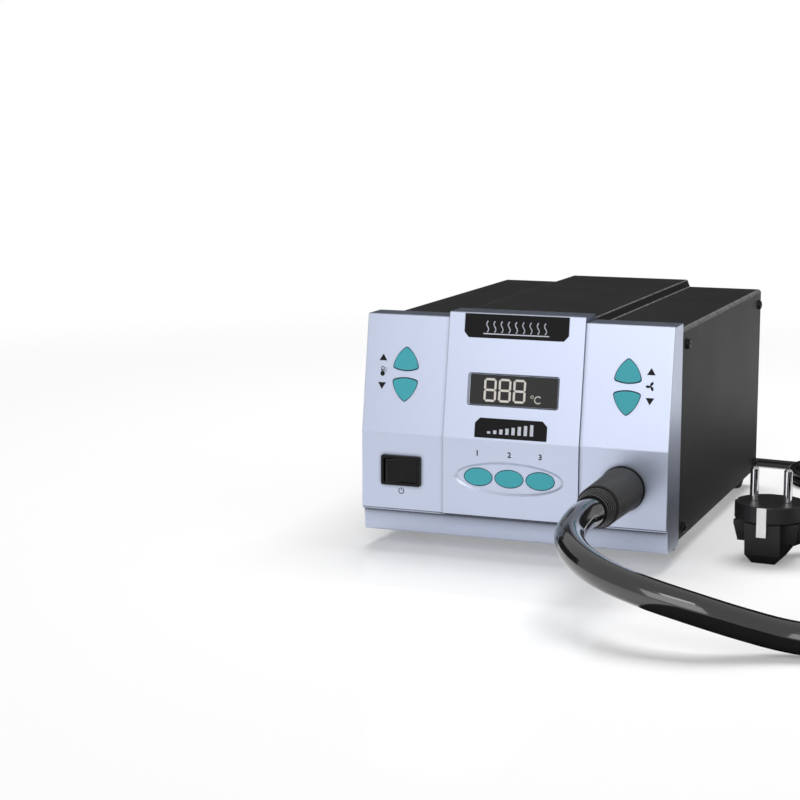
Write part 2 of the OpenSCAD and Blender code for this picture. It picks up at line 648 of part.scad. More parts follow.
module hose_sleeve() color([0.07, 0.07, 0.07]) along_minus_y(outlet_x, face_y, outlet_z) rotate_extrude() polygon(concat(
    [[air_d / 2 + 0.9, -4], [sleeve_d / 2 - 0.3, -4], [sleeve_d / 2 - 0.3, -panel_t - 0.1], [sleeve_d / 2 - 2.1, -panel_t - 0.1],
        [sleeve_d / 2 - 2.1, 0.05], [sleeve_d / 2 + 0.5, 0.05], [sleeve_d / 2 + 0.5, 1.4], [sleeve_d / 2, 1.4]],
    [for (i = [0:ribs - 1]) let (z = 3 + i * rib_pitch, r = sleeve_d / 2 + (sleeve_end_d - sleeve_d) / 2 * z / sleeve_l)
        each [[r, z], [r - rib_depth, z + 0.2], [r - rib_depth, z + 0.9], [r, z + 1.1]]],
    [[sleeve_end_d / 2, sleeve_l - 1], [sleeve_end_d / 2 - 0.5, sleeve_l]],
    [for (i = [0:nose_ribs - 1]) let (z = sleeve_l + i * (nose_l - 0.2) / nose_ribs, r = nose_root_r + (nose_tip_r - nose_root_r) * i / (nose_ribs - 1))
        each [[r - nose_rib, z + 0.05], [r, z + 0.35], [r, z + 0.85], [r - nose_rib, z + 1.15]]],
    [[nose_tip_r - nose_rib, sleeve_l + nose_l], [hose_r + nose_play, sleeve_l + nose_l], [hose_r + touch_gap, sleeve_l - 16],
        [hose_r + touch_gap, face_y - hose_seat_y], [air_d / 2 + 0.9, face_y - hose_seat_y]]));

module hose_spigot() color([0.75, 0.68, 0.42]) along_minus_y(outlet_x, spigot_y, outlet_z) difference() {
    union() {
        translate([0, 0, -12]) rod(13.4, 12);
        rod(air_d + 1.8 - 2 * touch_gap, spigot_y - hose_seat_y - 0.2);
        translate([0, 0, -2]) rod(18, 2);
    }
    translate([0, 0, -13]) rod(air_d, 60);
}

module air_duct() color([0.75, 0.45, 0.2]) along_y(outlet_x, spigot_y + 2.2, outlet_z) difference() {
    rod(16.6, outlet_y - spigot_y - 2.6);
    translate([0, 0, -cut]) rod(13.6, outlet_y - spigot_y + cut);
}

// Blower. Its spiral runs clockwise as seen from +X and leaves along -Y at the bottom.
function spiral(grow) = concat(
    [for (i = [0:30]) let (a = -100 - 350 * i / 30, r = tongue_r + channel_h * i / 30 + grow) [blower_y + r * cos(a), blower_z + r * sin(a)]],
    [[outlet_y, outlet_z - channel_h / 2 - grow], [outlet_y, outlet_z + channel_h / 2 + grow]]);

module across_x(x0, x1) translate([x0, 0, 0]) rotate([90, 0, 90]) linear_extrude(x1 - x0) children();

module blower_volute() color([0.13, 0.13, 0.14]) difference() {
    union() {
        across_x(volute_x, volute_x + volute_w) polygon(spiral(shell_t));
        along_minus_y(outlet_x, outlet_y, outlet_z) rod(13.4, 10);
    }
    difference() {
        across_x(volute_x - cut, volute_x + volute_w - shell_t) polygon(spiral(0));
        translate([volute_x - 2, outlet_y - cut, outlet_z - channel_h]) cube([volute_w + 4, shell_t + cut, 2 * channel_h]);
    }
    along_minus_y(outlet_x, outlet_y + 4, outlet_z) rod(air_d, 20);
}

module blower_cover() color([0.13, 0.13, 0.14]) difference() {
    across_x(volute_x - shell_t, volute_x) polygon(spiral(shell_t));
    difference() {
        along_x(volute_x - 3, blower_y, blower_z) rod(1.5 * motor_d, 6);
        along_x(volute_x - 4, blower_y, blower_z) rod(motor_d + 1, 8);
        for (a = [90, 210, 330]) translate([volute_x - 4, blower_y, blower_z]) rotate([a, 0, 0]) translate([0, -2.5, 0]) cube([8, 5, motor_d]);
    }
    along_x(volute_x - 3, blower_y, blower_z) rod(5, 6);
}

// One blade, curved back, from the eye of the wheel to its rim
function blade() = concat([for (i = [0:5]) let (r = blade_root_r + (wheel_r - blade_root_r - 0.6) * i / 5) r * [cos(9 * i), sin(9 * i)]],
    [for (i = [5:-1:0]) let (r = blade_root_r + (wheel_r - blade_root_r - 0.6) * i / 5) r * [cos(9 * i + 100 / r), sin(9 * i + 100 / r)]]);

module blower_wheel() color([0.2, 0.2, 0.22]) translate([wheel_x, blower_y, blower_z]) rotate([90, 0, 90]) difference() {
    union() {
        linear_extrude(1.2) difference() {
            circle(r = wheel_r);
            circle(r = eye_r);
        }
        translate([0, 0, wheel_w - 1.4]) rod(wheel_d, 1.4);
        translate([0, 0, wheel_w - 10]) rod(12, 10);
        for (i = [0:blades - 1]) rotate(360 * i / blades) translate([0, 0, 0.6]) linear_extrude(wheel_w - 1.2) polygon(blade());
    }
    translate([0, 0, -cut]) rod(3, wheel_w + 3);
}

module motor_shaft() color([0.8, 0.8, 0.82]) along_x(volute_x - shell_t - motor_l + 2, blower_y, blower_z)
    rod(3, motor_l + shell_t + 2 + wheel_w);

module blower_motor() color([0.35, 0.36, 0.38]) along_x(volute_x - shell_t - motor_l, blower_y, blower_z) difference() {
    union() {
        rotate_extrude() polygon([[0, 0], [motor_d / 2 - 2, 0], [motor_d / 2, 2], [motor_d / 2, motor_l - 1], [motor_d / 2 - 1, motor_l], [0, motor_l]]);
        translate([0, 0, -3]) rod(9, 3.2);
    }
    translate([0, 0, -4]) rod(3.12, motor_l + 8);
}

module blower_bracket() color([0.62, 0.64, 0.66]) difference() {
    union() {
        translate([volute_x + volute_w, blower_y - bracket_w / 2, base_z + sheet_t])
            cube([sheet_t, bracket_w, blower_z + bracket_over - base_z]);
        translate([volute_x + volute_w - bracket_foot, blower_y - bracket_w / 2, base_z + sheet_t])
            cube([bracket_foot + sheet_t, bracket_w, sheet_t]);
    }
    for (s = [-1, 1]) translate([volute_x + volute_w - bracket_foot / 2 - 1, blower_y + s * (bracket_w / 2 - 7), base_z]) rod(screw_d + 0.4, 5);
    along_x(volute_x + volute_w - 2, blower_y, blower_z) rod(14, 6);
}

// Transformer
core_w = 57;
core_h = 47.5;
core_d = 28;
core_inset = 46;
core_from_rear = 60.5;
core_at = [core_inset - half_w, rear_y - core_from_rear];
core_z = base_z + sheet_t + 1.3;

module transformer_core() color([0.3, 0.3, 0.31]) translate([core_at.x, core_at.y, core_z]) difference() {
    slab(core_w, core_d, core_h);
    for (s = [-1, 1]) translate([s * core_w / 4, 0, core_w / 6]) slab(core_w / 6, core_d + 2 * cut, core_h - core_w / 3);
}

module transformer_coil() color([0.72, 0.6, 0.25]) translate([core_at.x, core_at.y, core_z + core_w / 6 + touch_gap]) difference() {
    linear_extrude(core_h - core_w / 3 - 2 * touch_gap) polygon(oblong(core_w * 2 / 3 - 2 * touch_gap, core_d + 18, 3));
    translate([0, 0, -cut]) slab(core_w / 3 + 2 * touch_gap, core_d + 2 * touch_gap, core_h);
}

module transformer_bracket() color([0.62, 0.64, 0.66]) translate([core_at.x, core_at.y, base_z + sheet_t]) difference() {
    union() {
        slab(core_w + 26, 16, 1.2);
        for (s = [-1, 1]) translate([s * (core_w / 2 + touch_gap + 0.6), 0, 0]) slab(1.2, 16, core_h + 2.6);
        translate([0, 0, core_h + 1.4]) slab(core_w + 2.4 + 2 * touch_gap, 16, 1.2);
    }
    for (s = [-1, 1]) translate([s * (core_w / 2 + 8), 0, -cut]) rod(screw_d + 0.4, 4);
}

// Main board
board_inset = 64;
board_from_front = 70.5;
board_at = [board_inset - half_w, front_y + board_from_front];
board_w = 104;
board_d = 86;
board_z = base_z + sheet_t + 8;

module at_board_corners() for (x = [-1, 1]) for (y = [-1, 1])
    translate([board_at.x + x * (board_w / 2 - 4), board_at.y + y * (board_d / 2 - 4), 0]) children();

module main_board() color([0.10, 0.35, 0.18]) difference() {
    translate([board_at.x, board_at.y, board_z]) linear_extrude(board_t) polygon(oblong(board_w, board_d, 2));
    at_board_corners() translate([0, 0, board_z - cut]) rod(screw_d + 0.3, 5);
}

module board_standoffs() color([0.75, 0.68, 0.42]) at_board_corners() {
    translate([0, 0, base_z + sheet_t]) cylinder(d = 6.5, h = 8, $fn = 6);
    translate([0, 0, board_z + board_t]) pan_screw(screw_d, board_t + 2);
}

sink_w = 46;
sink_h = 30;
sink_t = 4;
fin_t = 2;
fin_d = 15;
fins = 7;

module heat_sink() color([0.66, 0.67, 0.69]) translate([board_at.x - 18, board_at.y - 22, board_z + board_t]) {
    translate([0, 0, 2]) slab(sink_w, sink_t, sink_h);
    for (i = [0:fins - 1]) translate([(sink_w / 2 - fin_t) * (2 * i / (fins - 1) - 1), -sink_t / 2 - fin_d / 2 + 0.5, 2])
        slab(fin_t, fin_d, sink_h);
    for (x = [-14, 14]) rod_at(x, 0, 3, 2.2);
}

module rod_at(x, y, d, l) translate([x, y, 0]) rod(d, l);

module triac() color([0.08, 0.08, 0.08]) translate([board_at.x - 18, board_at.y - 17.6, board_z + board_t]) {
    translate([0, 0, 8]) slab(10, 4.4, 15);
    for (x = [-2.5, 0, 2.5]) translate([x, 0, 0]) slab(0.9, 0.6, 8.5);
}

module capacitors() color([0.12, 0.16, 0.3]) for (p = [[22, -26, 12.5, 22], [22, -8, 12.5, 22], [38, -24, 8, 14]])
    translate([board_at.x + p[0], board_at.y + p[1], board_z + board_t])
        rotate_extrude() polygon([[0, 0], [p[2] / 2, 0], [p[2] / 2, p[3] - 1], [p[2] / 2 - 0.8, p[3]], [0, p[3]]]);

module terminal_block() color([0.12, 0.4, 0.25]) translate([board_at.x - 14, board_at.y + board_d / 2 - 8, board_z + board_t]) difference() {
    slab(40, 10, 11);
    for (i = [0:6]) translate([-17 + 5.7 * i, 2, 5]) rod(3.6, 8);
}

// Rear fittings
module fuse_holder() color([0.06, 0.06, 0.06]) along_y(fuse_x, rear_y, fuse_z) difference() {
    union() {
        rod(fuse_cap_d + 1, 1.2);
        translate([0, 0, -34]) rod(fuse_cap_d - 2.6, 34.2);
        translate([0, 0, -42]) slab(1, 5, 9);
    }
    translate([0, 0, -32]) rod(9.8, 40);
}

module fuse_link() color([0.82, 0.84, 0.86]) along_y(fuse_x, rear_y - 29, fuse_z) {
    rod(4.6, 20);
    for (z = [0, 14.5]) translate([0, 0, z]) rod(5.2, 5.5);
}

module fuse_cap() color([0.06, 0.06, 0.06]) along_y(fuse_x, rear_y, fuse_z) difference() {
    union() {
        translate([0, 0, -12]) rod(9.2, 14);
        translate([0, 0, 1.5]) rotate_extrude() polygon([[0, 0], [fuse_cap_d / 2, 0], [fuse_cap_d / 2, 2.6],
            [fuse_cap_d / 2 - 0.6, 3.2], [fuse_cap_d / 2 - 1.2, 3.2], [fuse_cap_d / 2 - 1.5, 2.9], [0, 2.9]]);
    }
    translate([0, 0, -13]) rod(5.32, 13 - 9 + 0.2);
    translate([0, 0, 3.7]) slab(8, 1.2, 2);
}

module earth_socket() color([0.85, 0.85, 0.87]) along_y(socket_x, rear_y, socket_z) difference() {
    union() {
        rotate_extrude() polygon([[0, 0], [4.1, 0], [4.1, 1.2], [3.7, 1.7], [0, 1.7]]);
        translate([0, 0, -18]) rod(6.8, 18.2);
    }
    translate([0, 0, -16]) rod(socket_d, 30);
    translate([0, 0, 1.1]) cylinder(d1 = socket_d, d2 = socket_d + 2, h = 1);
}

module cable_gland() color([0.05, 0.05, 0.05]) along_y(gland_x, rear_y, gland_z) difference() {
    union() {
        rotate_extrude() polygon([[0, 0], [gland_d / 2, 0], [gland_d / 2, 2.4], [gland_d / 2 - 0.8, 3.2], [5.1, 3.6],
            [4.8, 4], [3.9, relief_l + 4], [0, relief_l + 4]]);
        translate([0, 0, -12]) rod(gland_d - 2.8, 12.2);
    }
    translate([0, 0, -13]) rod(cord_d + 0.4, 60);
}

module panel_nuts() color([0.7, 0.7, 0.72]) {
    for (f = [[fuse_x, fuse_z, fuse_cap_d - 2.6, 17], [socket_x, socket_z, 6.8, 11], [gland_x, gland_z, gland_d - 2.8, 15]])
        along_minus_y(f[0], rear_y - sheet_t, f[1]) difference() {
            cylinder(d = f[3], h = 3, $fn = 6);
            translate([0, 0, -cut]) rod(f[2] + 0.05, 6);
        }
}

// Mains cord, coil and plug
module mains_cord() color([0.04, 0.04, 0.04]) tube(cord_lead, cord_d, 8);

module mains_cord_coil() color([0.04, 0.04, 0.04]) translate([coil_at.x, coil_at.y, 0]) rotate_extrude()
    translate([coil_r - 2 * coil_step - cord_r, 0.05]) square([2 * coil_step + cord_d, coil_lift + cord_d - 0.05]);

module mains_cord_tail() color([0.04, 0.04, 0.04]) tube(cord_tail, cord_d, 8);

module at_plug() translate([plug_x, plug_y, 0]) rotate(plug_turn) children();

module plug_body() color([0.06, 0.06, 0.06]) at_plug() difference() {
    union() {
        translate([0, 0, plug_h - 10.5]) rotate_extrude() polygon([[0, 0], [plug_d / 2 - 1.6, 0], [plug_d / 2, 1.6],
            [plug_d / 2, 10], [plug_d / 2 - 0.5, 10.5], [0, 10.5]]);
        hull() {
            translate([0, 0, plug_h - 12]) slab(plug_d - 3, 20, 2);
            translate([0, 0, 11]) slab(plug_d - 7, 16, 2);
        }
        hull() {
            translate([0, 0, plug_h - 12]) slab(20, plug_d - 5, 2);
            translate([0, 0, 5]) slab(20, plug_d - 8, 2);
            slab(13, plug_d - 14, 2);
        }
        rotate(outlet_turn - plug_turn) translate([10, 0, cord_out_z]) rotate([0, 90, 0]) cylinder(d1 = 15, d2 = 8.4, h = plug_boot_l);
    }
    for (s = [-1, 1]) translate([s * (plug_d / 2 + 0.4), 0, plug_h - 12]) slab(4, 5.6, 14);
    for (s = [-1, 1]) translate([s * pin_pitch / 2, 0, plug_h - pin_root_l]) rod(pin_d - 1.18, pin_root_l + cut);
    for (s = [-1, 1]) translate([0, s * (plug_d / 2 - 0.2), plug_h - 17]) slab(5.6, 1.6, 18);
    translate([0, 4.5, plug_h - 12]) rod(5, 14);
    rotate(outlet_turn - plug_turn) translate([30, 0, cord_out_z]) rotate([0, 90, 0]) rod(cord_d + 0.3, 20);
}

module plug_pins() color([0.85, 0.85, 0.87]) at_plug() for (s = [-1, 1]) translate([s * pin_pitch / 2, 0, plug_h])
    rotate_extrude() polygon([[0, -pin_root_l], [pin_d / 2 - 0.6, -pin_root_l], [pin_d / 2 - 0.6, 0], [pin_d / 2, 0],
        [pin_d / 2, pin_l - 1.2], [pin_d / 2 - 1, pin_l], [0, pin_l]]);

module plug_earth_clips() color([0.85, 0.86, 0.88]) at_plug() for (s = [-1, 1])
    translate([0, s * (plug_d / 2 - 0.6), plug_h - 17 + 0.05]) slab(5.4, 0.7, 16.5);

// Air hose and hand piece
function smooth_step(t) = let (k = min(1, max(0, t))) k * k * (3 - 2 * k);

hose_loop = [for (i = [0:loop_parts]) let (a = loop_turn * i / loop_parts)
    [loop_at.x + loop_r * sin(a), loop_at.y - loop_r * cos(a), hose_r + climb_h * smooth_step((a - climb_from) / climb_over)]];

module air_hose() color([0.03, 0.03, 0.03]) tube(concat(hose_lead, hose_loop, hose_tail), hose_d, 12);

module at_grip(y) along_y(grip_x, y, grip_z) children();

module hose_boot() color([0.05, 0.05, 0.05]) at_grip(grip_y - 30) rotate_extrude() polygon([[hose_r + touch_gap, 0], [9.2, 0], [9.6, 0.6],
    [12, 26], [12, 30], [grip_d / 2 - grip_t - 0.2, 30], [grip_d / 2 - grip_t - 0.2, 38], [6, 38], [6, 8], [hose_r + touch_gap, 8]]);

// The grip is a shell in two halves, waisted in the middle
module grip_half() rotate_extrude(angle = 180) polygon([[grip_d / 2 - 0.8, 0], [grip_d / 2, 2], [grip_d / 2, 18],
    [grip_d / 2 - 1.2, 36], [grip_d / 2 - 1.2, 62], [grip_d / 2, 84], [grip_d / 2, grip_l - 3], [grip_d / 2 - 1.2, grip_l],
    [9, grip_l], [9, grip_l - 2], [grip_d / 2 - grip_t - 1.2, grip_l - 4], [grip_d / 2 - grip_t - 1.2, 10],
    [grip_d / 2 - grip_t, 9], [grip_d / 2 - grip_t, 0]]);

module grip_slots() for (a = [40, 65, 90, 115, 140]) rotate(a) translate([grip_d / 2 - 6, -1, grip_l - 24]) cube([8, 2, 14]);

module grip_lower() color([0.07, 0.07, 0.07]) at_grip(grip_y) difference() {
    grip_half();
    grip_slots();
}

module grip_upper() color([0.07, 0.07, 0.07]) at_grip(grip_y) rotate(180) difference() {
    grip_half();
    grip_slots();
}

module heater_tube() color([0.75, 0.75, 0.77]) at_grip(tube_y) rotate_extrude() polygon([[8, 0], [grip_d / 2 - 0.6, 0], [grip_d / 2 - 0.6, 1.5],
    [heater_d / 2, 1.5], [heater_d / 2, heater_l - 6], [8, heater_l], [8, heater_l + 8], [7.2, heater_l + 8], [7.2, heater_l - 0.6],
    [heater_d / 2 - 0.8, heater_l - 6.8], [heater_d / 2 - 0.8, 2.4], [8, 2.4]]);

// The heating element: a ceramic core wound with coils, on a plain root that the grip holds
element_r = 9;
element_root_r = 7.8;
element_neck_r = 7.6;
element_root_l = 16;
element_pitch = 4;
element_l = heater_l + 4;
element_coils = floor((element_l - element_root_l - 2) / element_pitch);

module heater_core() color([0.85, 0.83, 0.78]) at_grip(tube_y - 12) rotate_extrude() polygon(concat(
    [[0, 0], [element_root_r, 0], [element_root_r, element_root_l]],
    [for (i = [0:element_coils - 1]) let (z = element_root_l + 1 + element_pitch * i)
        each [[element_r, z], [element_r, z + 2], [element_neck_r, z + 2.4], [element_neck_r, z + 3.6]]],
    [[element_neck_r, element_l], [0, element_l]]));

module nozzle() color([0.78, 0.78, 0.8]) at_grip(nozzle_y + 0.6) rotate_extrude() polygon([[8.05, 0], [9.4, 0], [9.4, 9], [6.2, 15],
    [nozzle_d / 2 + 1, 17], [nozzle_d / 2 + 1, 32], [nozzle_d / 2, 32], [nozzle_d / 2, 14], [7.2, 8.6], [8.05, 7.8]]);

chassis_tray();
rear_panel();
top_cover();
front_frame();
front_panel();
cover_screws();
panel_screws();
feet();
feet_screws();
temp_up_button();
temp_down_button();
air_up_button();
air_down_button();
channel_1_button();
channel_2_button();
channel_3_button();
display_window();
display_module();
control_board();
channel_board();
tact_switches();
switch_body();
power_rocker();
hose_sleeve();
hose_spigot();
air_duct();
blower_volute();
blower_cover();
blower_wheel();
motor_shaft();
blower_motor();
blower_bracket();
transformer_core();
transformer_coil();
transformer_bracket();
main_board();
board_standoffs();
heat_sink();
triac();
capacitors();
terminal_block();
fuse_holder();
fuse_link();
fuse_cap();
earth_socket();
cable_gland();
panel_nuts();
mains_cord();
mains_cord_coil();
mains_cord_tail();
plug_body();
plug_pins();
plug_earth_clips();
air_hose();
hose_boot();
grip_lower();
grip_upper();
heater_tube();
heater_core();
nozzle();
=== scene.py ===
"""Looks of a bench hot air rework station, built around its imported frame.

Lengths are millimetres in the frame's own axes: +X right, +Y to the rear, +Z up, with the
origin on the table under the middle of the casing. Meshes, paths and settings are in metres.
"""

import json
import math
from math import cos, pi, radians, sin, tan

import bmesh
import bpy
from mathutils import Matrix, Vector


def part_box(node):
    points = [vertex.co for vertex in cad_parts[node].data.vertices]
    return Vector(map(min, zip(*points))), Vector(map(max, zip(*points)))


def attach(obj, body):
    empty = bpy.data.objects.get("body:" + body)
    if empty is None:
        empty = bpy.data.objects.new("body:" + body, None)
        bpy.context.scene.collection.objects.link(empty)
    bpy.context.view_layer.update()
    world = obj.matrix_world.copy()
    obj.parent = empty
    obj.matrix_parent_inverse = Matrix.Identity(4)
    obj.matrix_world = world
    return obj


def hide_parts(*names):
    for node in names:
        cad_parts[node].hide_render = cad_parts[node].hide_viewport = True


bl_info = {
    "name": "Hot air rework station",
    "version": (1, 0, 0),
    "blender": (4, 5, 0),
    "location": "3D View > Sidebar > Station",
    "description": "Builds the looks of a bench hot air station around its packed frame",
    "category": "Add Mesh",
}

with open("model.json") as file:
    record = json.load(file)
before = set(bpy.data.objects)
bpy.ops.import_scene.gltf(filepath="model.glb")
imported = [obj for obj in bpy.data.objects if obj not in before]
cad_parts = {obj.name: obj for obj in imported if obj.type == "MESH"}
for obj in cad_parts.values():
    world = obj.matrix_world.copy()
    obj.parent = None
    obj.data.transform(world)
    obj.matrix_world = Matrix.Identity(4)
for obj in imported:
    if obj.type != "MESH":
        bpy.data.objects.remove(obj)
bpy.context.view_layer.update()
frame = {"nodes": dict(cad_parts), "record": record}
NODES = frame["nodes"]
MM = 0.001
IDENTITY = Matrix.Identity(4)
SWAP_YZ = Matrix(((1, 0, 0, 0), (0, 0, 1, 0), (0, 1, 0, 0), (0, 0, 0, 1)))
WHITE = (1, 1, 1, 1)
COAT_ROUGHNESS = 0.05
# How much farther the painted shade on the chin reaches than the crevice shade
CHIN_SHADE_REACH = 2.4

# The camera's right, up and forward directions, and its place in metres
CAMERA_RIGHT, CAMERA_UP = (0.93123, 0.36443, 0), (-0.05904, 0.15086, 0.98676)
CAMERA_AHEAD, CAMERA_PLACE = (-0.3596, 0.9189, -0.162), (0.3285, -1.1496, 0.2641)
CAMERA_AT = Matrix([(r, u, -a, p) for r, u, a, p in zip(CAMERA_RIGHT, CAMERA_UP, CAMERA_AHEAD, CAMERA_PLACE)]
                   + [(0, 0, 0, 1)])

# Places and sizes
PANEL_LOW, PANEL_HIGH = (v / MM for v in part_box("front_panel"))
COVER_LOW, COVER_HIGH = (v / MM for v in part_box("top_cover"))
WALL = 2.2
MIDDLE_HALF, MIDDLE_RISE, MIDDLE_OVER = 39.5, 1.2, 3.1
FACE_LOW, FACE_TOP, PANEL_BACK = 23.6, 133.9, -113.7
STRIP_LOW, STRIP_TOP, STRIP_DEPTH, CHIN_DEPTH = 22.5, 23.9, 0.6, 2.7
FACE_Y = PANEL_LOW.y + MIDDLE_RISE
CREASE_Z = 67.0
CHIN_TOP = 23.5
LEAN = 9.1
REAR_Y = COVER_HIGH.y
SHEET, RIDGE_HALF, RIDGE_RISE, RIDGE_SLOPE = 1.2, 39, 4.6, 1.8
COVER_SCREWS_Y, COVER_SCREWS_Z = (-98.8, 104.8), (16.5, 120.6)
OUTLET, OUTLET_W = (64.1, 45.2), 20.4
PICK_X, PICK_UP_Z, PICK_DOWN_Z = 64.5, 104.4, 96.7
PICK_W, PICK_H, PICK_BULGE = 14.7, 11.5, 1.6
SIGN_X = (-78.5, 77.3)
OVAL_X, OVAL_Z, OVAL_PITCH, OVAL_W, OVAL_H = -0.6, 45.8, 18.1, 16.2, 9.75
RECESS_W, RECESS_H = 61.0, 16.2
WINDOW_Z, WINDOW_W, WINDOW_H = 94.7, 50.8, 16.6
SWITCH_X, SWITCH_Z, SWITCH_W, SWITCH_H = -65.1, 45.95, 23.7, 17.1
ROCKER_TILT, ROCKER_AXIS = 11.0, 2.6
GRIP_X, GRIP_Y, GRIP_Z = 352.0, -62.0, 13.7
HOSE_BORE = 7.85

# Route of the air hose: the same points as in the part's source
HOSE_LEAD = [(64.1, -176, 45.2), (64.3, -190, 45.2), (64.1, -203, 45.1), (61.9, -218, 44), (63.5, -241, 40),
             (74, -261, 36), (91, -276, 32), (112.5, -284.5, 27.8), (136, -285.5, 22.4), (158, -279, 15.5),
             (179, -272, 9.8), (203, -268.5, 7.75), (237, -268, 7.75)]
LOOP_AT, LOOP_R, LOOP_TURN, LOOP_PARTS = (272, -188), 80, 450, 54
LOOP_GAP, CLIMB_FROM, CLIMB_OVER = 0.4, 250, 90
HOSE_TAIL = [(352, -157, 22.2), (352, -128, 17), (352, -102, 13.7), (352, -84.1, 13.7)]

# Route of the mains cord
CORD_LEAD = [(-69.3, 118, 34.5), (-69.3, 134, 34.5), (-67.5, 147, 32), (-62, 158, 26.5), (-53.5, 166.5, 19.5),
             (-43, 172.5, 12.8), (-31, 177, 7.4), (-17.5, 180, 4), (-4, 181.5, 2.75), (12, 182, 2.75),
             (28, 181.5, 2.75), (44, 180, 2.75), (60, 178, 2.75), (76, 175.8, 2.75), (92, 173.8, 2.75),
             (108, 172.2, 2.75), (124, 171.2, 2.75)]
COIL_AT, COIL_R, COIL_STEP, COIL_LIFT = (142, 135), 36, 5.7, 5.6
COIL_TURNS, COIL_PARTS = 2, 32
CORD_TAIL = [(178, 121, 7.2), (178.3, 107, 4.4), (178.8, 93, 2.9), (179.6, 78, 2.75), (180.6, 63, 2.75),
             (181.6, 48, 2.75), (182.4, 33, 2.75), (182.8, 18, 2.75), (182.4, 4, 2.75), (180.6, -10, 3.6),
             (177.4, -23, 6), (172.4, -35, 9.2), (165.6, -46.5, 11.5), (157.2, -59.1, 12), (153.6, -63.7, 12)]


# Settings a user would change
def length(name, text, value, least):
    """A length setting in metres with its name, what it is for, its default and its least value."""
    return bpy.props.FloatProperty(name=name, description=text, default=value, min=least, unit="LENGTH")


class StationSizes(bpy.types.PropertyGroup):
    """Sizes of the looks that the frame leaves open."""

    hose: length("Air hose", "Diameter of the air hose", 0.0155, 0.005)
    cord: length("Mains cord", "Diameter of the mains cord", 0.0055, 0.003)
    edge: length("Panel edge", "Rounding of the moulded panel's edges", 0.0005, 0.0)
    rib_pitch: length("Rib pitch", "Distance between the ribs of the sleeve", 0.0031, 0.001)
    print_depth: length("Print", "Thickness of the printed marks", 0.00005, 0.00001)


def colour(name, text, value):
    """A colour setting with its name, what it is for and its default."""
    return bpy.props.FloatVectorProperty(name=name, description=text, subtype="COLOR", size=3, min=0.0,
                                         max=1.0, default=value)


class StationColours(bpy.types.PropertyGroup):
    """Colours of the finishes."""

    panel: colour("Panel", "Silver-blue of the moulded panel", (0.53, 0.58, 0.725))
    casing: colour("Casing", "Powder coat of the casing", (0.019, 0.019, 0.0195))
    button: colour("Buttons", "Teal of the buttons", (0.068, 0.44, 0.51))
    print_dark: colour("Print", "Dark print and badges", (0.008, 0.008, 0.008))
    digits: colour("Digits", "Display digits", (0.68, 0.65, 0.60))
    rubber: colour("Rubber", "Sleeve, feet and grip", (0.014, 0.014, 0.015))


# Node trees
class Net:
    """A node tree being filled. A value that is a socket is joined, and any other is set."""

    def __init__(self, tree):
        self.tree = tree

    def fill(self, inputs, values):
        """Joins or sets inputs by their name or their place in the row. None leaves one as it is."""
        for key, value in values.items():
            if isinstance(value, bpy.types.NodeSocket):
                self.tree.links.new(value, inputs[key])
            elif value is not None:
                inputs[key].default_value = value

    def node(self, kind, *feeds, out=0, **values):
        """Adds a node and gives one of its outputs.

        Feeds go to its inputs in their order. Of the values, lower case names are attributes and
        capitalised ones are inputs.
        """
        n = self.tree.nodes.new(kind)
        inputs = dict(enumerate(feeds))
        for key, value in values.items():
            if key[0].islower():
                setattr(n, key, value)
            else:
                inputs[key.replace("_", " ")] = value
        self.fill(n.inputs, inputs)
        return n.outputs[out] if n.outputs else None

    def math(self, operation, a, b=None, clamp=False):
        return self.node("ShaderNodeMath", a, b, operation=operation, use_clamp=clamp)

    def product(self, a, b, clamp=False):
        return self.math("MULTIPLY", a, b, clamp)

    def scaled(self, vector, factor):
        return self.node("ShaderNodeVectorMath", vector, operation="SCALE", Scale=factor)

    def blend(self, share, a, b):
        """A colour between two others, whose sockets follow the five for numbers and vectors."""
        return self.node("ShaderNodeMix", share, *[None] * 5, a, b, data_type="RGBA", out=2)

    def place(self):
        return self.node("ShaderNodeTexCoord", out="Object")

    def noise(self, scale, detail, **values):
        place = values.pop("Vector", None) or self.place()
        return self.node("ShaderNodeTexNoise", Vector=place, Scale=scale, Detail=detail, **values)

    def marked(self, attribute):
        return self.node("ShaderNodeAttribute", attribute_type="GEOMETRY", attribute_name=attribute,
                         out="Fac")


def group(name, kind, ins, outs, fill):
    """The node group of this name. At the first call, fill makes its outputs from its inputs."""
    tree = bpy.data.node_groups.get(name)
    if not tree:
        tree = bpy.data.node_groups.new(name, kind)
        for way, sockets in (("INPUT", ins), ("OUTPUT", outs)):
            for label, socket in sockets.items():
                tree.interface.new_socket(name=label, in_out=way, socket_type="NodeSocket" + socket)
        Net(tree).node("NodeGroupOutput", *fill(Net(tree), tree.nodes.new("NodeGroupInput").outputs))
    return tree


def fill_grain(net, i):
    """Fine mottling of a moulded or coated surface: its colour, its roughness and a height."""
    fine, broad = net.noise(i["Scale"], 3.0), net.noise(18.0, 4.0)
    off = net.math("SUBTRACT", net.math("ADD", fine, net.product(broad, 0.5)), 0.75)
    gain = net.math("ADD", net.product(off, i["Contrast"]), 1.0)
    rough = net.product(net.math("SUBTRACT", broad, 0.5), i["Spread"])
    return net.scaled(i["Colour"], gain), net.math("ADD", rough, i["Roughness"], clamp=True), fine


def fill_edges(net, i):
    """Handled edges, worn and painted with a highlight, on the narrow bent faces that are marked."""
    mask = net.product(net.product(net.marked("edge"), net.noise(140.0, 5.0)), 1.6)
    return [net.blend(net.product(mask, i["Amount"], clamp=True), i["Colour"], i["Edge Colour"])]


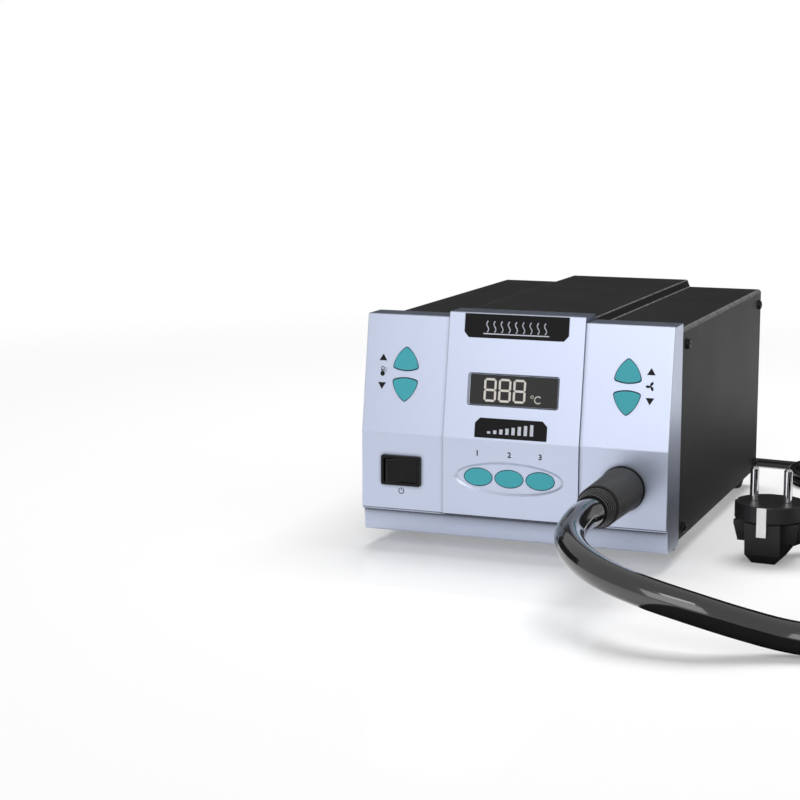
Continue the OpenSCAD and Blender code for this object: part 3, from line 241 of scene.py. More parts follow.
def fill_dust(net, i):
    """A thin veil of dust on what faces up."""
    up = net.node("ShaderNodeSeparateXYZ", net.node("ShaderNodeNewGeometry", out="Normal"), out="Z")
    up = net.math("POWER", net.math("MAXIMUM", up, 0.0), 2.0)
    mask = net.product(net.product(up, net.noise(35.0, 6.0, Roughness=0.65)), i["Amount"], clamp=True)
    return [net.blend(mask, i["Colour"], (0.42, 0.41, 0.39, 1))]


def fill_crevices(net, i):
    """Darkening in gaps, grooves and corners, where little light gets in."""
    open_sky = net.node("ShaderNodeAmbientOcclusion", Distance=i["Reach"], samples=8, out="AO")
    shut = net.product(net.math("SUBTRACT", 1.0, open_sky), i["Amount"])
    return [net.scaled(i["Colour"], net.math("SUBTRACT", 1.0, shut, clamp=True))]


def fill_brushed(net, i):
    """The height of short parallel scratches of drawn or brushed metal along Y."""
    drawn = net.node("ShaderNodeVectorMath", net.place(), (1, 0.02, 1), operation="MULTIPLY")
    return [net.noise(i["Scale"], 2.0, Vector=drawn)]


SHADER_GROUPS = {
    "surface_grain": (fill_grain, "Colour Scale Contrast Roughness Spread", "Colour Roughness Height"),
    "worn_and_highlit_edges": (fill_edges, "Colour Edge_Colour Amount", "Colour"),
    "settled_dust": (fill_dust, "Colour Amount", "Colour"),
    "crevice_shade": (fill_crevices, "Colour Amount Reach", "Colour"),
    "brushed_lines": (fill_brushed, "Scale", "Height"),
}


def layer(net, name, **values):
    """A shared shader group placed in a tree. Sockets called a colour are colours, and the rest numbers."""
    fill, *sides = SHADER_GROUPS[name]
    ins, outs = ({label.replace("_", " "): "Color" if label.endswith("Colour") else "Float"
                  for label in side.split()} for side in sides)
    return net.node("ShaderNodeGroup", node_tree=group(name, "ShaderNodeTree", ins, outs, fill), **values)


def opaque(tone):
    """A colour, or a grey level, with full alpha."""
    return (tone, tone, tone, 1) if isinstance(tone, float) else (*tone, 1)


def new_finish(name, tone, rough, metal=0.0, grain=900, contrast=0.12, spread=0.1, bump=0.05, depth=0.02,
               edge=0.0, edge_tone=0.5, dust=0.0, coat=0.0, coat_ior=1.5, level=0.5, brushed=0.0,
               emission=0.0, crevice=0.0, reach=4.0, chin_shade=0.0):
    """A finish made of the shared groups.

    Depth and reach are millimetres, and edge and dust are shares. Chin shade adds painted shade,
    the shadow under the face's overhang, to the crevice shade on the faces that carry the
    chin_shade attribute.
    """
    m = bpy.data.materials.new(name)
    m.use_nodes = True
    net = Net(m.node_tree)
    colour = layer(net, "surface_grain", Colour=opaque(tone), Scale=grain, Contrast=contrast, Roughness=rough,
                   Spread=spread)
    roughness, height = colour.node.outputs["Roughness"], colour.node.outputs["Height"]
    # Lighter marked edges: partly wear, partly a painted highlight along bends
    if edge:
        colour = layer(net, "worn_and_highlit_edges", Colour=colour, Edge_Colour=opaque(edge_tone), Amount=edge)
    if dust:
        colour = layer(net, "settled_dust", Colour=colour, Amount=dust)
    if crevice:
        amount, width = crevice, reach * MM
        # Painted shade on the chin, where the face's overhang shades it
        if chin_shade:
            under = net.marked("chin_shade")
            amount = net.math("ADD", net.product(under, chin_shade), amount)
            width = net.math("ADD", net.product(under, CHIN_SHADE_REACH * width), width)
        colour = layer(net, "crevice_shade", Colour=colour, Amount=amount, Reach=width)
    if brushed:
        height = layer(net, "brushed_lines", Scale=brushed)
    relief = net.node("ShaderNodeBump", Height=height, Strength=bump, Distance=depth * MM)
    sockets = {"Base Color": colour, "Roughness": roughness, "Normal": relief, "Metallic": metal,
               "Specular IOR Level": level, "Coat Weight": coat, "Coat Roughness": COAT_ROUGHNESS,
               "Coat IOR": coat_ior}
    if emission:
        sockets |= {"Emission Color": opaque(tone), "Emission Strength": emission}
    net.fill(m.node_tree.nodes["Principled BSDF"].inputs, sockets)
    return m


# Every finish by the name of its slot in the record, if it has one: its material's name, its
# colour, grey level or colour setting, its roughness, and what sets it off from a plain moulding
# Edge tones lighten the marked edges, partly as wear and partly as a painted highlight
ZINC = dict(metal=1.0, grain=260, contrast=0.5, spread=0.25, bump=0.15, edge=0.3)
DARK_EDGE = dict(edge=0.3, edge_tone=0.1)
RUBBER = dict(grain=1500, contrast=0.2, bump=0.08)
FINISHES = {
    "casing_paint": ("powder_coat", "casing", 0.5, dict(
        grain=2600, contrast=0.5, bump=0.35, depth=0.03, edge=0.75, edge_tone=(0.25, 0.25, 0.255), dust=0.02,
        level=0.16)),
    # The panel carries painted shade in its gaps and corners, and more on the chin under the face
    "panel_moulding": ("silver_blue_moulding", "panel", 0.34, dict(
        metal=0.9, grain=2400, contrast=0.16, bump=0.12, edge=0.25, edge_tone=(0.86, 0.89, 0.95), crevice=1.2,
        reach=2.6, chin_shade=2.4)),
    "button_teal": ("teal_moulding", "button", 0.5, dict(
        grain=1400, contrast=0.08, bump=0.08, level=0.25, edge=0.25, edge_tone=(0.25, 0.55, 0.6))),
    "zinc_sheet": ("zinc_sheet", (0.56, 0.57, 0.6), 0.35, ZINC),
    "zinc_screw": ("zinc_screw", (0.62, 0.62, 0.64), 0.28, ZINC),
    "black_screw": ("black_oxide", (0.012, 0.012, 0.013), 0.32, dict(
        metal=0.6, contrast=0.3, edge=0.5, edge_tone=(0.2, 0.2, 0.21))),
    "foot_rubber": ("foot_rubber", "rubber", 0.75, dict(grain=1200, contrast=0.4, bump=0.3, dust=0.05)),
    "window_tint": ("tinted_window", 0.014, 0.12, dict(contrast=0.0, spread=0.02, bump=0.0, level=0.2)),
    "display_block": ("display_potting", (0.013, 0.013, 0.014), 0.6, {}),
    "circuit_board": ("solder_mask", (0.015, 0.1, 0.035), 0.3, dict(
        grain=500, contrast=0.3, edge=0.3, edge_tone=(0.3, 0.28, 0.12))),
    "switch_black": ("switch_moulding", 0.009, 0.36, dict(
        level=0.14, grain=1600, contrast=0.2, bump=0.1, edge=0.3, edge_tone=0.12)),
    "nose_rubber": ("nose_rubber", 0.006, 0.4, RUBBER | dict(level=0.2)),
    # The ribs are the sleeve's own rubber, lighter as a painted highlight on their crests
    "nose_rib": ("nose_rib_rubber", 0.07, 0.2, RUBBER | dict(bump=0.06)),
    "sleeve_rubber": ("sleeve_rubber", 0.006, 0.45, RUBBER | dict(contrast=0.3, bump=0.1, level=0.2)),
    "sleeve_rib_highlight": ("highlit_sleeve_rib_rubber", (0.055, 0.055, 0.056), 0.3, RUBBER | dict(contrast=0.3, bump=0.1)),
    "brass": ("turned_brass", (0.72, 0.52, 0.22), 0.3, dict(metal=1.0, contrast=0.3)),
    "duct_silicone": ("duct_silicone", (0.42, 0.12, 0.04), 0.55, dict(bump=0.1)),
    "blower_moulding": ("glass_filled_moulding", (0.02, 0.02, 0.023), 0.5, dict(
        grain=700, contrast=0.5, bump=0.2)),
    "ground_steel": ("ground_steel", (0.72, 0.72, 0.74), 0.18, dict(metal=1.0)),
    "motor_can": ("motor_can", (0.16, 0.165, 0.17), 0.35, dict(metal=0.7)),
    "lamination": ("varnished_laminations", (0.06, 0.058, 0.055), 0.35, dict(
        metal=0.5, brushed=3000, bump=0.4, depth=0.05)),
    "coil_tape": ("coil_tape", (0.62, 0.4, 0.07), 0.4, dict(grain=120, contrast=0.3)),
    "heat_sink_alu": ("mill_aluminium", (0.66, 0.67, 0.69), 0.32, dict(metal=1.0, brushed=1800, bump=0.2)),
    "package_black": ("epoxy_package", (0.013, 0.013, 0.014), 0.55, dict(grain=3000, bump=0.2)),
    "capacitor_sleeve": ("capacitor_sleeve", (0.012, 0.025, 0.1), 0.25, dict(coat=0.3)),
    "terminal_green": ("terminal_moulding", (0.02, 0.2, 0.06), 0.4, {}),
    "fuse_black": ("phenolic", 0.013, 0.38, DARK_EDGE | dict(grain=1500, contrast=0.3, edge=0.35)),
    "fuse_glass": ("fuse_glass", (0.75, 0.77, 0.78), 0.1, dict(metal=0.4)),
    "socket_chrome": ("bright_nickel", (0.82, 0.82, 0.84), 0.09, dict(metal=1.0, contrast=0.05, spread=0.05)),
    "gland_black": ("nylon", 0.013, 0.45, DARK_EDGE | dict(bump=0.1)),
    "cord_black": ("cord_sheath", (0.010, 0.010, 0.0105), 0.34, dict(
        grain=500, contrast=0.3, spread=0.2, bump=0.12, depth=0.04)),
    "plug_black": ("plug_moulding", (0.014, 0.014, 0.0145), 0.42, DARK_EDGE | dict(
        grain=1800, contrast=0.3, bump=0.25, edge=0.4)),
    "clip_steel": ("spring_strip", 0.97, 0.4, dict(metal=0.1, contrast=0.03)),
    "hose_black": ("hose_skin", (0.014, 0.014, 0.015), 0.16, dict(
        grain=60, contrast=0.3, depth=0.15, coat=1.0, level=0.4, coat_ior=1.7)),
    "grip_black": ("grip_moulding", (0.016, 0.016, 0.017), 0.5, DARK_EDGE | dict(
        grain=1500, contrast=0.4, bump=0.35, dust=0.02)),
    "heater_steel": ("stainless_tube", (0.6, 0.58, 0.56), 0.26, dict(metal=1.0, brushed=2200, bump=0.2)),
    "ceramic": ("ceramic", (0.78, 0.74, 0.66), 0.6, dict(bump=0.2)),
    "lit_digits": ("lit_segments", "digits", 0.6, dict(contrast=0.04, bump=0.0, emission=0.12, level=0.2)),
    "dark_print": ("dark_print", "print_dark", 0.55, dict(contrast=0.1, bump=0.0, level=0.2)),
    "pale_print": ("pale_print", (0.62, 0.65, 0.74), 0.5, dict(contrast=0.06, bump=0.0, level=0.3)),
    "badge_film": ("badge_film", "print_dark", 0.42, DARK_EDGE | dict(contrast=0.15, level=0.12, edge=0.2)),
}


def finish(slot):
    """The finish of this name, made when it is first asked for."""
    name, tone, rough, settings = FINISHES[slot]
    if isinstance(tone, str):
        tone = getattr(bpy.context.scene.station_colours, tone)
    return bpy.data.materials.get(name) or new_finish(name, tone, rough, **settings)


# Shapes
def prism(outline, low, high):
    """The side and the two ends of an outline drawn in X and Y, from low to high in Z."""
    n = len(outline)
    points = [(x, y, low) for x, y in outline] + [(x, y, high) for x, y in outline]
    faces = [tuple(range(n - 1, -1, -1)), tuple(range(n, 2 * n))]
    return points, faces + [(k, (k + 1) % n, n + (k + 1) % n, n + k) for k in range(n)]


def loft(rings, closed=False):
    """Skins through rings of equal length, with flat ends, or joined end to start."""
    n, points = len(rings[0]), [p for ring in rings for p in ring]
    starts = [i * n for i in range(len(rings))]
    pairs = zip(starts, starts[1:] + starts[:1] if closed else starts[1:])
    faces = [(a + k, a + (k + 1) % n, b + (k + 1) % n, b + k) for a, b in pairs for k in range(n)]
    if not closed:
        faces += [tuple(range(n - 1, -1, -1)), tuple(range(starts[-1], starts[-1] + n))]
    return points, faces


def lathe(profile, sides=64, closed=False):
    """A profile of radius and height turned round Z. Closed joins its end to its start, as for a tube."""
    turns = [2 * pi * k / sides for k in range(sides)]
    return loft([[(r * cos(t), r * sin(t), z) for t in turns] for r, z in profile], closed)


def rounded(outline, radii, steps=5):
    """An outline with its corners rounded: one radius, or one for each corner."""
    out, n = [], len(outline)
    for k, b in enumerate(outline):
        r = radii[k] if isinstance(radii, (list, tuple)) else radii
        if not r:
            out.append(tuple(b))
            continue
        b, a, c = Vector(b), Vector(outline[k - 1]), Vector(outline[(k + 1) % n])
        u, v = (a - b).normalized(), (c - b).normalized()
        half = u.angle(v) / 2
        mid = b + (u + v).normalized() * r / sin(half)
        start, end = b + u * r / tan(half) - mid, b + v * r / tan(half) - mid
        turn = (pi - 2 * half) * (1 if start.x * end.y - start.y * end.x > 0 else -1)
        for i in range(steps + 1):
            t = turn * i / steps
            out.append((mid.x + start.x * cos(t) - start.y * sin(t),
                        mid.y + start.x * sin(t) + start.y * cos(t)))
    return out


def rect(x, y, far_x, far_y):
    return [(x, y), (far_x, y), (far_x, far_y), (x, far_y)]


def oblong(w, h, r, steps=5):
    return rounded(rect(-w / 2, -h / 2, w / 2, h / 2), r, steps)


def ellipse(w, h, sides=72):
    return [(w / 2 * cos(2 * pi * k / sides), h / 2 * sin(2 * pi * k / sides)) for k in range(sides)]


def at_height(outline, z):
    return [(x, y, z) for x, y in outline]


def quarter(steps):
    """Even angles of a quarter turn."""
    return [radians(90 * i / steps) for i in range(steps + 1)]


def bowed(p, q, bulge, steps):
    """The side from p to q of a three-cornered outline, without q, bulging to its right."""
    p, q = Vector(p), Vector(q)
    d = (q - p).normalized()
    return [tuple(p.lerp(q, i / steps) + Vector((d.y, -d.x)) * bulge * 4 * i / steps * (1 - i / steps))
            for i in range(steps)]


def pick(grow=0.0):
    """Outline of a three-cornered button with its tip up."""
    w, low, tip, steps = PICK_W / 2 + grow, -grow, PICK_H + grow, 8
    corners = [(-w, low), (w, low), (0, tip)]
    sides = [p for k in range(3) for p in bowed(corners[k], corners[(k + 1) % 3], PICK_BULGE, steps)]
    return rounded(sides, [0.9 * (1.1 + grow) * (i % steps == 0) for i in range(len(sides))], 6)


def on_upper(x, z, out=0.0):
    """Frame on the panel's leaning face: local X along the panel, Y up the face and Z out of it."""
    foot = shift(x, FACE_Y + (z - CREASE_Z) * tan(radians(LEAN)), z)
    return foot @ turned(90 - LEAN, "X") @ shift(0, 0, out)


def on_lower(x, z, out=0.0):
    return shift(x, FACE_Y - out, z) @ turned(90, "X")


def shift(x, y, z):
    return Matrix.Translation((x, y, z))


def turned(degrees, axis):
    return Matrix.Rotation(radians(degrees), 4, axis)


def along_y(x, y, z):
    return shift(x, y, z) @ turned(-90, "X")


def ribbon(points, width, closed=False):
    """Outline of a stroke of the given width along points, as quads end to end."""
    quads, n = [], len(points)
    for k in range(n if closed else n - 1):
        a, b = Vector(points[k]), Vector(points[(k + 1) % n])
        d = (b - a).normalized() * width / 2
        s = Vector((-d.y, d.x))
        a, b = a - d * 0.5, b + d * 0.5
        quads.append([tuple(a - s), tuple(b - s), tuple(b + s), tuple(a + s)])
    return quads


def arc(at, r, start, end, steps):
    return [(at[0] + r * cos(radians(start + (end - start) * i / steps)),
             at[1] + r * sin(radians(start + (end - start) * i / steps))) for i in range(steps + 1)]


# Bodies of the buttons with their places, and of the oval ones with their X
PICKS = [(f"{name}_{way}", on_upper(side * PICK_X, z) @ turned(turn, "Z"))
         for name, side in (("temp", -1), ("air", 1))
         for way, z, turn in (("up", PICK_UP_Z, 0), ("down", PICK_DOWN_Z, 180))]
OVALS = [(f"channel_{k}", OVAL_X + (k - 2) * OVAL_PITCH) for k in (1, 2, 3)]


# Meshes and objects
def new_object(name, data):
    obj = bpy.data.objects.new(name, data)
    bpy.context.scene.collection.objects.link(obj)
    return obj


def new_mesh(name, bm):
    """A mesh of a bmesh, which is used up."""
    mesh = bpy.data.meshes.new(name)
    bm.to_mesh(mesh)
    bm.free()
    return mesh


def final_mesh(obj):
    """A new mesh of what an object's modifiers make."""
    bpy.context.view_layer.update()
    return bpy.data.meshes.new_from_object(obj.evaluated_get(bpy.context.evaluated_depsgraph_get()))


def mended(bm, weld, sliver):
    """Welds points and takes out slivers nearer than these distances in metres."""
    if weld:
        bmesh.ops.remove_doubles(bm, verts=bm.verts, dist=weld)
    if sliver:
        bmesh.ops.dissolve_degenerate(bm, edges=bm.edges, dist=sliver)
    return bm


def skin(shapes, weld=0.0, sliver=0.0, unit=MM):
    """A bmesh of shapes, each points and faces with the matrix that places them, facing outwards."""
    bm = bmesh.new()
    for (points, faces), matrix in shapes:
        made = [bm.verts.new(matrix @ Vector(p) * unit) for p in points]
        for f in faces:
            corners = list(dict.fromkeys(made[k] for k in f))
            if len(corners) > 2:
                bm.faces.new(corners)
    mended(bm, weld, sliver)
    bmesh.ops.recalc_face_normals(bm, faces=bm.faces)
    return bm


def dress(obj, tone, body="root", slot=None, replaced=()):
    """Gives a finished piece its finish and its body, and hides the nodes that it stands for.

    The slot is not used.
    """
    obj.data.materials.clear()
    obj.data.materials.append(finish(tone))
    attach(obj, body)
    if replaced:
        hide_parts(*replaced)
    return obj


def mark_edges(mesh):
    """Marks the narrow faces of rounded edges, each bent against its neighbours, for the finishes."""
    width, bend, share = 0.45 * MM, 0.05, 0.6
    bm = bmesh.new()
    bm.from_mesh(mesh)
    marks = []
    for f in bm.faces:
        rim = sum(e.calc_length() for e in f.edges)
        bent = sum(e.calc_length() for e in f.edges if len(e.link_faces) == 2 and e.calc_face_angle() > bend)
        marks.append(float(2 * f.calc_area() < width * rim and bent > share * rim))
    bm.free()
    mesh.attributes.new("edge", "FLOAT", "FACE").data.foreach_set("value", marks)


def settle(name, bm, tone, sharp=35.0, bevel=0.0, steps=3, angle=40.0, **dressing):
    """Turns a bmesh in metres into a dressed object with softened edges."""
    for f in bm.faces:
        f.smooth = True
    obj = new_object(name, new_mesh(name, bm))
    obj.data.set_sharp_from_angle(angle=radians(sharp))
    if bevel:
        soft = obj.modifiers.new("edges", "BEVEL")
        soft.width, soft.segments, soft.miter_outer = bevel * MM, steps, "MITER_ARC"
        soft.limit_method, soft.angle_limit = "ANGLE", radians(angle)
    flat = obj.modifiers.new("flat_faces", "WEIGHTED_NORMAL")
    flat.keep_sharp, flat.weight = True, 80
    obj.data = final_mesh(obj)
    obj.modifiers.clear()
    mark_edges(obj.data)
    return dress(obj, tone, **dressing)


def build(name, shapes, tone, **settling):
    """One closed piece from shapes that are placed in millimetres."""
    return settle(name, skin(shapes, 2e-7, 1e-8), tone, **settling)


def softened(tone, bevels, **settling):
    """Copies of frame nodes with their edges rounded, each of which stands for its node."""
    for node, bevel in bevels.items():
        bm = bmesh.new()
        bm.from_mesh(NODES[node].data)
        mended(bm, 2e-6, 0)
        bmesh.ops.dissolve_limit(bm, angle_limit=radians(0.5), verts=bm.verts, edges=bm.edges)
        settle("soft_" + node, bm, tone, bevel=bevel, replaced=[node], **settling)


def carved(base, joined, cut):
    """The bmesh of a base shape with others joined to it and others cut from it."""
    shell = lambda shape: new_object("shell", new_mesh("shell", skin([shape])))
    obj, helpers = shell(base), []
    for operation, shapes in (("UNION", joined), ("DIFFERENCE", cut)):
        for shape in shapes:
            helpers.append(shell(shape))
            mod = obj.modifiers.new(operation, "BOOLEAN")
            mod.operation, mod.solver, mod.object = operation, "EXACT", helpers[-1]
    bm = bmesh.new()
    bm.from_mesh(final_mesh(obj))
    for o in [obj] + helpers:
        bpy.data.objects.remove(o)
    return mended(bm, 1e-6, 1e-7)


# Geometry nodes
def realized(net, i, **instances):
    """Real geometry with its finish, from instances on points."""
    real = net.node("GeometryNodeRealizeInstances", net.node("GeometryNodeInstanceOnPoints", **instances))
    smooth = net.node("GeometryNodeSetShadeSmooth", real)
    return [net.node("GeometryNodeSetMaterial", smooth, Material=i["Finish"])]


def fill_ribs(net, i):
    """A row of round ribs along Z whose radius changes evenly from the first to the last."""
    xyz = lambda *feeds: net.node("ShaderNodeCombineXYZ", *feeds)
    line = net.node("GeometryNodeMeshLine", mode="OFFSET", Count=i["Count"], Offset=xyz(0, 0, i["Pitch"]))
    ring = net.node("GeometryNodeCurvePrimitiveCircle", Resolution=72, Radius=i["First Radius"])
    section = net.node("GeometryNodeCurvePrimitiveCircle", Resolution=10, Radius=0.5)
    size = xyz(net.product(i["Rib Height"], 2.0), i["Rib Width"], 1.0)
    squashed = net.node("GeometryNodeTransform", Geometry=section, Scale=size)
    rib = net.node("GeometryNodeCurveToMesh", Curve=ring, Profile_Curve=squashed)
    share = net.math("DIVIDE", net.node("GeometryNodeInputIndex"), i["Count"])
    growth = net.math("SUBTRACT", net.math("DIVIDE", i["Last Radius"], i["First Radius"]), 1.0)
    wide = net.math("ADD", net.product(share, growth), 1.0)
    return realized(net, i, Points=line, Instance=rib, Scale=xyz(wide, wide, 1.0))


def fill_seats(net, i):
    """A copy of one shape on every point, turned to face as the point's own direction says."""
    shape = net.node("GeometryNodeObjectInfo", Object=i["Shape"], out="Geometry")
    facing = net.node("GeometryNodeInputNamedAttribute", data_type="FLOAT_VECTOR", Name="facing",
                      out="Attribute")
    turn = net.node("FunctionNodeAlignRotationToVector", axis="Z", Vector=facing)
    return realized(net, i, Points=i["Geometry"], Instance=shape, Rotation=turn)


GEOMETRY_GROUPS = {
    "rib_row": (fill_ribs, {"Count": "Int", "Pitch": "Float", "First Radius": "Float", "Last Radius": "Float",
                            "Rib Width": "Float", "Rib Height": "Float", "Finish": "Material"}),
    "seated_shapes": (fill_seats, {"Shape": "Object", "Finish": "Material"}),
}


def grown(name, group_name, base, matrix, **values):
    """The plain mesh that a geometry tree makes on a base mesh, placed by a matrix in millimetres."""
    fill, ins = GEOMETRY_GROUPS[group_name]
    plain = {"Geometry": "Geometry"}
    host = new_object(name, base)
    mod = host.modifiers.new("made", "NODES")
    mod.node_group = group(group_name, "GeometryNodeTree", plain | ins, plain, fill)
    sockets = {s.name: s.identifier for s in mod.node_group.interface.items_tree if s.in_out == "INPUT"}
    for key, value in values.items():
        mod[sockets[key.replace("_", " ")]] = value
    mesh = final_mesh(host)
    bpy.data.objects.remove(host)
    mesh.transform(Matrix.Scale(MM, 4) @ matrix @ Matrix.Scale(1 / MM, 4))
    return new_object(name, mesh)


def rib_row(name, matrix, count, pitch, first, last, width, height, tone, **dressing):
    obj = grown(name, "rib_row", bpy.data.meshes.new(name + "_base"), matrix, Count=count, Pitch=pitch * MM,
                First_Radius=first * MM, Last_Radius=last * MM, Rib_Width=width * MM, Rib_Height=height * MM,
                Finish=finish(tone))
    return dress(obj, tone, **dressing)


def seated(name, shape, places, tone, **dressing):
    """Copies of a shape, given as points and faces in millimetres, on places of point and direction."""
    holder = new_object(name + "_shape", new_mesh(name + "_shape", skin([(shape, IDENTITY)], 1e-6)))
    base = bpy.data.meshes.new(name + "_base")
    base.from_pydata([Vector(p) * MM for p, _ in places], [], [])
    facing = base.attributes.new("facing", "FLOAT_VECTOR", "POINT")
    facing.data.foreach_set("vector", [c for _, d in places for c in d])
    obj = grown(name, "seated_shapes", base, IDENTITY, Shape=holder, Finish=finish(tone))
    bpy.data.objects.remove(holder)
    obj.data.set_sharp_from_angle(angle=radians(35))
    return dress(obj, tone, **dressing)


# Cords
def through(points, parts=6):
    """A smooth curve through points, in metres."""
    p = [Vector(v) for v in points]
    p = [2 * p[0] - p[1]] + p + [2 * p[-1] - p[-2]]
    out = []
    for a, b, c, d in zip(p, p[1:], p[2:], p[3:]):
        for i in range(parts):
            t = i / parts
            out.append(0.5 * (2 * b + (c - a) * t + (2 * a - 5 * b + 4 * c - d) * t * t
                              + (3 * b - a - 3 * c + d) * t ** 3))
    return [v * MM for v in out + [p[-2]]]


def tube(name, path, diameter, sides):
    """A round tube with flat ends along a path in metres."""
    tangents = [(b - a).normalized() for a, b in zip(path[:1] + path, path[1:] + path[-1:])]
    up, rings = Vector((0, 0, 1)), []
    for p, t in zip(path, tangents):
        up = (up - up.dot(t) * t).normalized()
        side = up.cross(t)
        rings.append([p + diameter / 2 * (cos(2 * pi * k / sides) * up + sin(2 * pi * k / sides) * side)
                      for k in range(sides)])
    bm = skin([(loft(rings), IDENTITY)], unit=1.0)
    for f in bm.faces:
        f.smooth = len(f.verts) == 4
    return new_object(name, new_mesh(name, bm))


def eased(t):
    """Goes from 0 to 1 with a soft start and end."""
    t = max(0.0, min(1.0, t))
    return t * t * (3 - 2 * t)


def hose_path():
    """Along the lead, round the loop on the table with a climb over itself, and down to the hand piece."""
    r, loop = bpy.context.scene.station_sizes.hose / MM / 2, []
    for i in range(LOOP_PARTS + 1):
        a = LOOP_TURN * i / LOOP_PARTS
        loop.append((LOOP_AT[0] + LOOP_R * sin(radians(a)), LOOP_AT[1] - LOOP_R * cos(radians(a)),
                     r + (2 * r + LOOP_GAP) * eased((a - CLIMB_FROM) / CLIMB_OVER)))
    return through(HOSE_LEAD + loop + HOSE_TAIL)


def cord_path():
    """Along the lead, two turns inwards on the table, a climb, two turns outwards on top, and the tail."""
    coil, low = [], bpy.context.scene.station_sizes.cord / MM / 2
    inner, climb = COIL_R - COIL_STEP * COIL_TURNS, 0.25
    for i in range(int(COIL_PARTS * (2 * COIL_TURNS + climb)) + 1):
        turns = i / COIL_PARTS
        past = turns - COIL_TURNS
        r = COIL_R - COIL_STEP * turns if past <= 0 else inner + COIL_STEP * max(0.0, past - climb)
        a = radians(90 - 360 * turns)
        coil.append((COIL_AT[0] + r * cos(a), COIL_AT[1] + r * sin(a), low + COIL_LIFT * eased(past / climb)))
    return through(CORD_LEAD + coil + CORD_TAIL, 4)


# The stage
def bare(block):
    """The emptied tree of a world or material, and the sockets that tell its kinds of ray."""
    block.use_nodes = True
    block.node_tree.nodes.clear()
    net = Net(block.node_tree)
    return net, net.node("ShaderNodeLightPath").node.outputs


def light_up_world(world):
    """White for the camera, dimmer for what is mirrored, and faint for the rest."""
    mirrored, faint = 0.5, 0.30
    net, rays = bare(world)
    seen = net.math("MAXIMUM", rays["Is Camera Ray"], rays["Is Transmission Ray"])
    level = net.math("MAXIMUM", seen, net.product(rays["Is Glossy Ray"], mirrored))
    sky = net.node("ShaderNodeBackground", Color=WHITE, Strength=net.math("MAXIMUM", level, faint))
    net.node("ShaderNodeOutputWorld", Surface=sky)


def floor_finish():
    """A pale floor with a faint mirror image. Far from the station it is the backdrop's plain white."""
    pale, mirrored, glowing, whitens_from, white_at = 0.80, 0.07, 0.22, 0.5, 1.1
    m = bpy.data.materials.new("white_floor")
    net, rays = bare(m)
    diffuse = net.node("ShaderNodeBsdfDiffuse", Color=opaque(pale))
    mirror = net.node("ShaderNodeBsdfGlossy", Color=WHITE, Roughness=0.06)
    seen = net.math("MAXIMUM", rays["Is Camera Ray"], rays["Is Glossy Ray"])
    glow = net.node("ShaderNodeEmission", Color=WHITE, Strength=net.product(seen, glowing))
    near = net.node("ShaderNodeAddShader", net.node("ShaderNodeMixShader", mirrored, diffuse, mirror), glow)
    distance = net.node("ShaderNodeVectorMath", net.place(), operation="LENGTH", out="Value")
    far = net.node("ShaderNodeMapRange", Value=distance, From_Min=whitens_from, From_Max=white_at,
                   interpolation_type="SMOOTHSTEP")
    white = net.node("ShaderNodeEmission", Color=WHITE, Strength=seen)
    fade = net.node("ShaderNodeMixShader", net.product(far, seen), near, white)
    net.node("ShaderNodeOutputMaterial", Surface=fade)
    return m


def stage_object(name, shape, material):
    obj = new_object(name, new_mesh(name, skin([(shape, IDENTITY)])))
    obj.data.materials.append(material)
    return obj


# Low and high corners of the black cards, and whether diffuse light meets them
CARDS = {"rear_card": ((-2600, 1500, 30), (950, 1510, 1500), True),
         "left_card": ((-2600, -300, 30), (-2590, 1500, 1200), True),
         "side_card": ((104, -130, 0.2), (240, 330, 0.7), False),
         "hose_card": ((100, -620, 0.2), (420, -150, 0.7), False)}

# Places, targets and sizes of the lamps in metres, their power, and whether they are mirrored
LAMPS = {"front": ((0.1, -2.6, 0.95), (0.0, -0.1, 0.1), (2.3, 1.5), 18.5, True),
         "key": ((0.3, -1.65, 1.45), (0.03, -0.14, 0.06), (0.9, 0.4), 4, True),
         "right": ((1.9, -1.0, 0.8), (0.0, -0.1, 0.06), (0.9, 1.0), 2.5, False),
         "overhead": ((0.0, 0.45, 1.7), (0.0, -0.05, 0.0), (1.5, 1.1), 26, False)}


class STATION_OT_stage(bpy.types.Operator):
    """Camera, floor, backdrop and studio lights"""

    bl_idname = "station.stage"
    bl_label = "Stage"

    def execute(self, context):
        scene = context.scene
        scene.view_settings.view_transform = "Standard"
        look = new_object("camera", bpy.data.cameras.new("camera"))
        look.data.sensor_width, look.data.lens = 36, 87.34
        look.data.clip_start, look.data.clip_end = 0.05, 50
        look.matrix_world = CAMERA_AT
        scene.camera = look
        scene.world = bpy.data.worlds.new("studio")
        light_up_world(scene.world)
        stage_object("floor", prism(oblong(9000, 9000, 3000, 24), -20.2, -0.2), floor_finish())

        # Black cards behind and beside the station, which no camera sees, keep its faces dark
        black = bpy.data.materials.new("black_card")
        black.use_nodes = True
        Net(black.node_tree).fill(black.node_tree.nodes["Principled BSDF"].inputs,
                                  {"Base Color": (0, 0, 0, 1), "Specular IOR Level": 0})
        for name, (low, high, diffuse) in CARDS.items():
            card = stage_object(name, prism(rect(*low[:2], *high[:2]), low[2], high[2]), black)
            card.visible_camera = card.visible_shadow = card.visible_transmission = False
            card.visible_diffuse = diffuse

        for name, (place, target, size, power, mirrored) in LAMPS.items():
            lamp = new_object(name, bpy.data.lights.new(name, "AREA"))
            lamp.data.shape, lamp.data.energy = "RECTANGLE", power
            lamp.data.size, lamp.data.size_y = size
            lamp.location, lamp.visible_glossy = place, mirrored
            lamp.rotation_euler = (Vector(target) - Vector(place)).to_track_quat("-Z", "Y").to_euler()
        return {"FINISHED"}


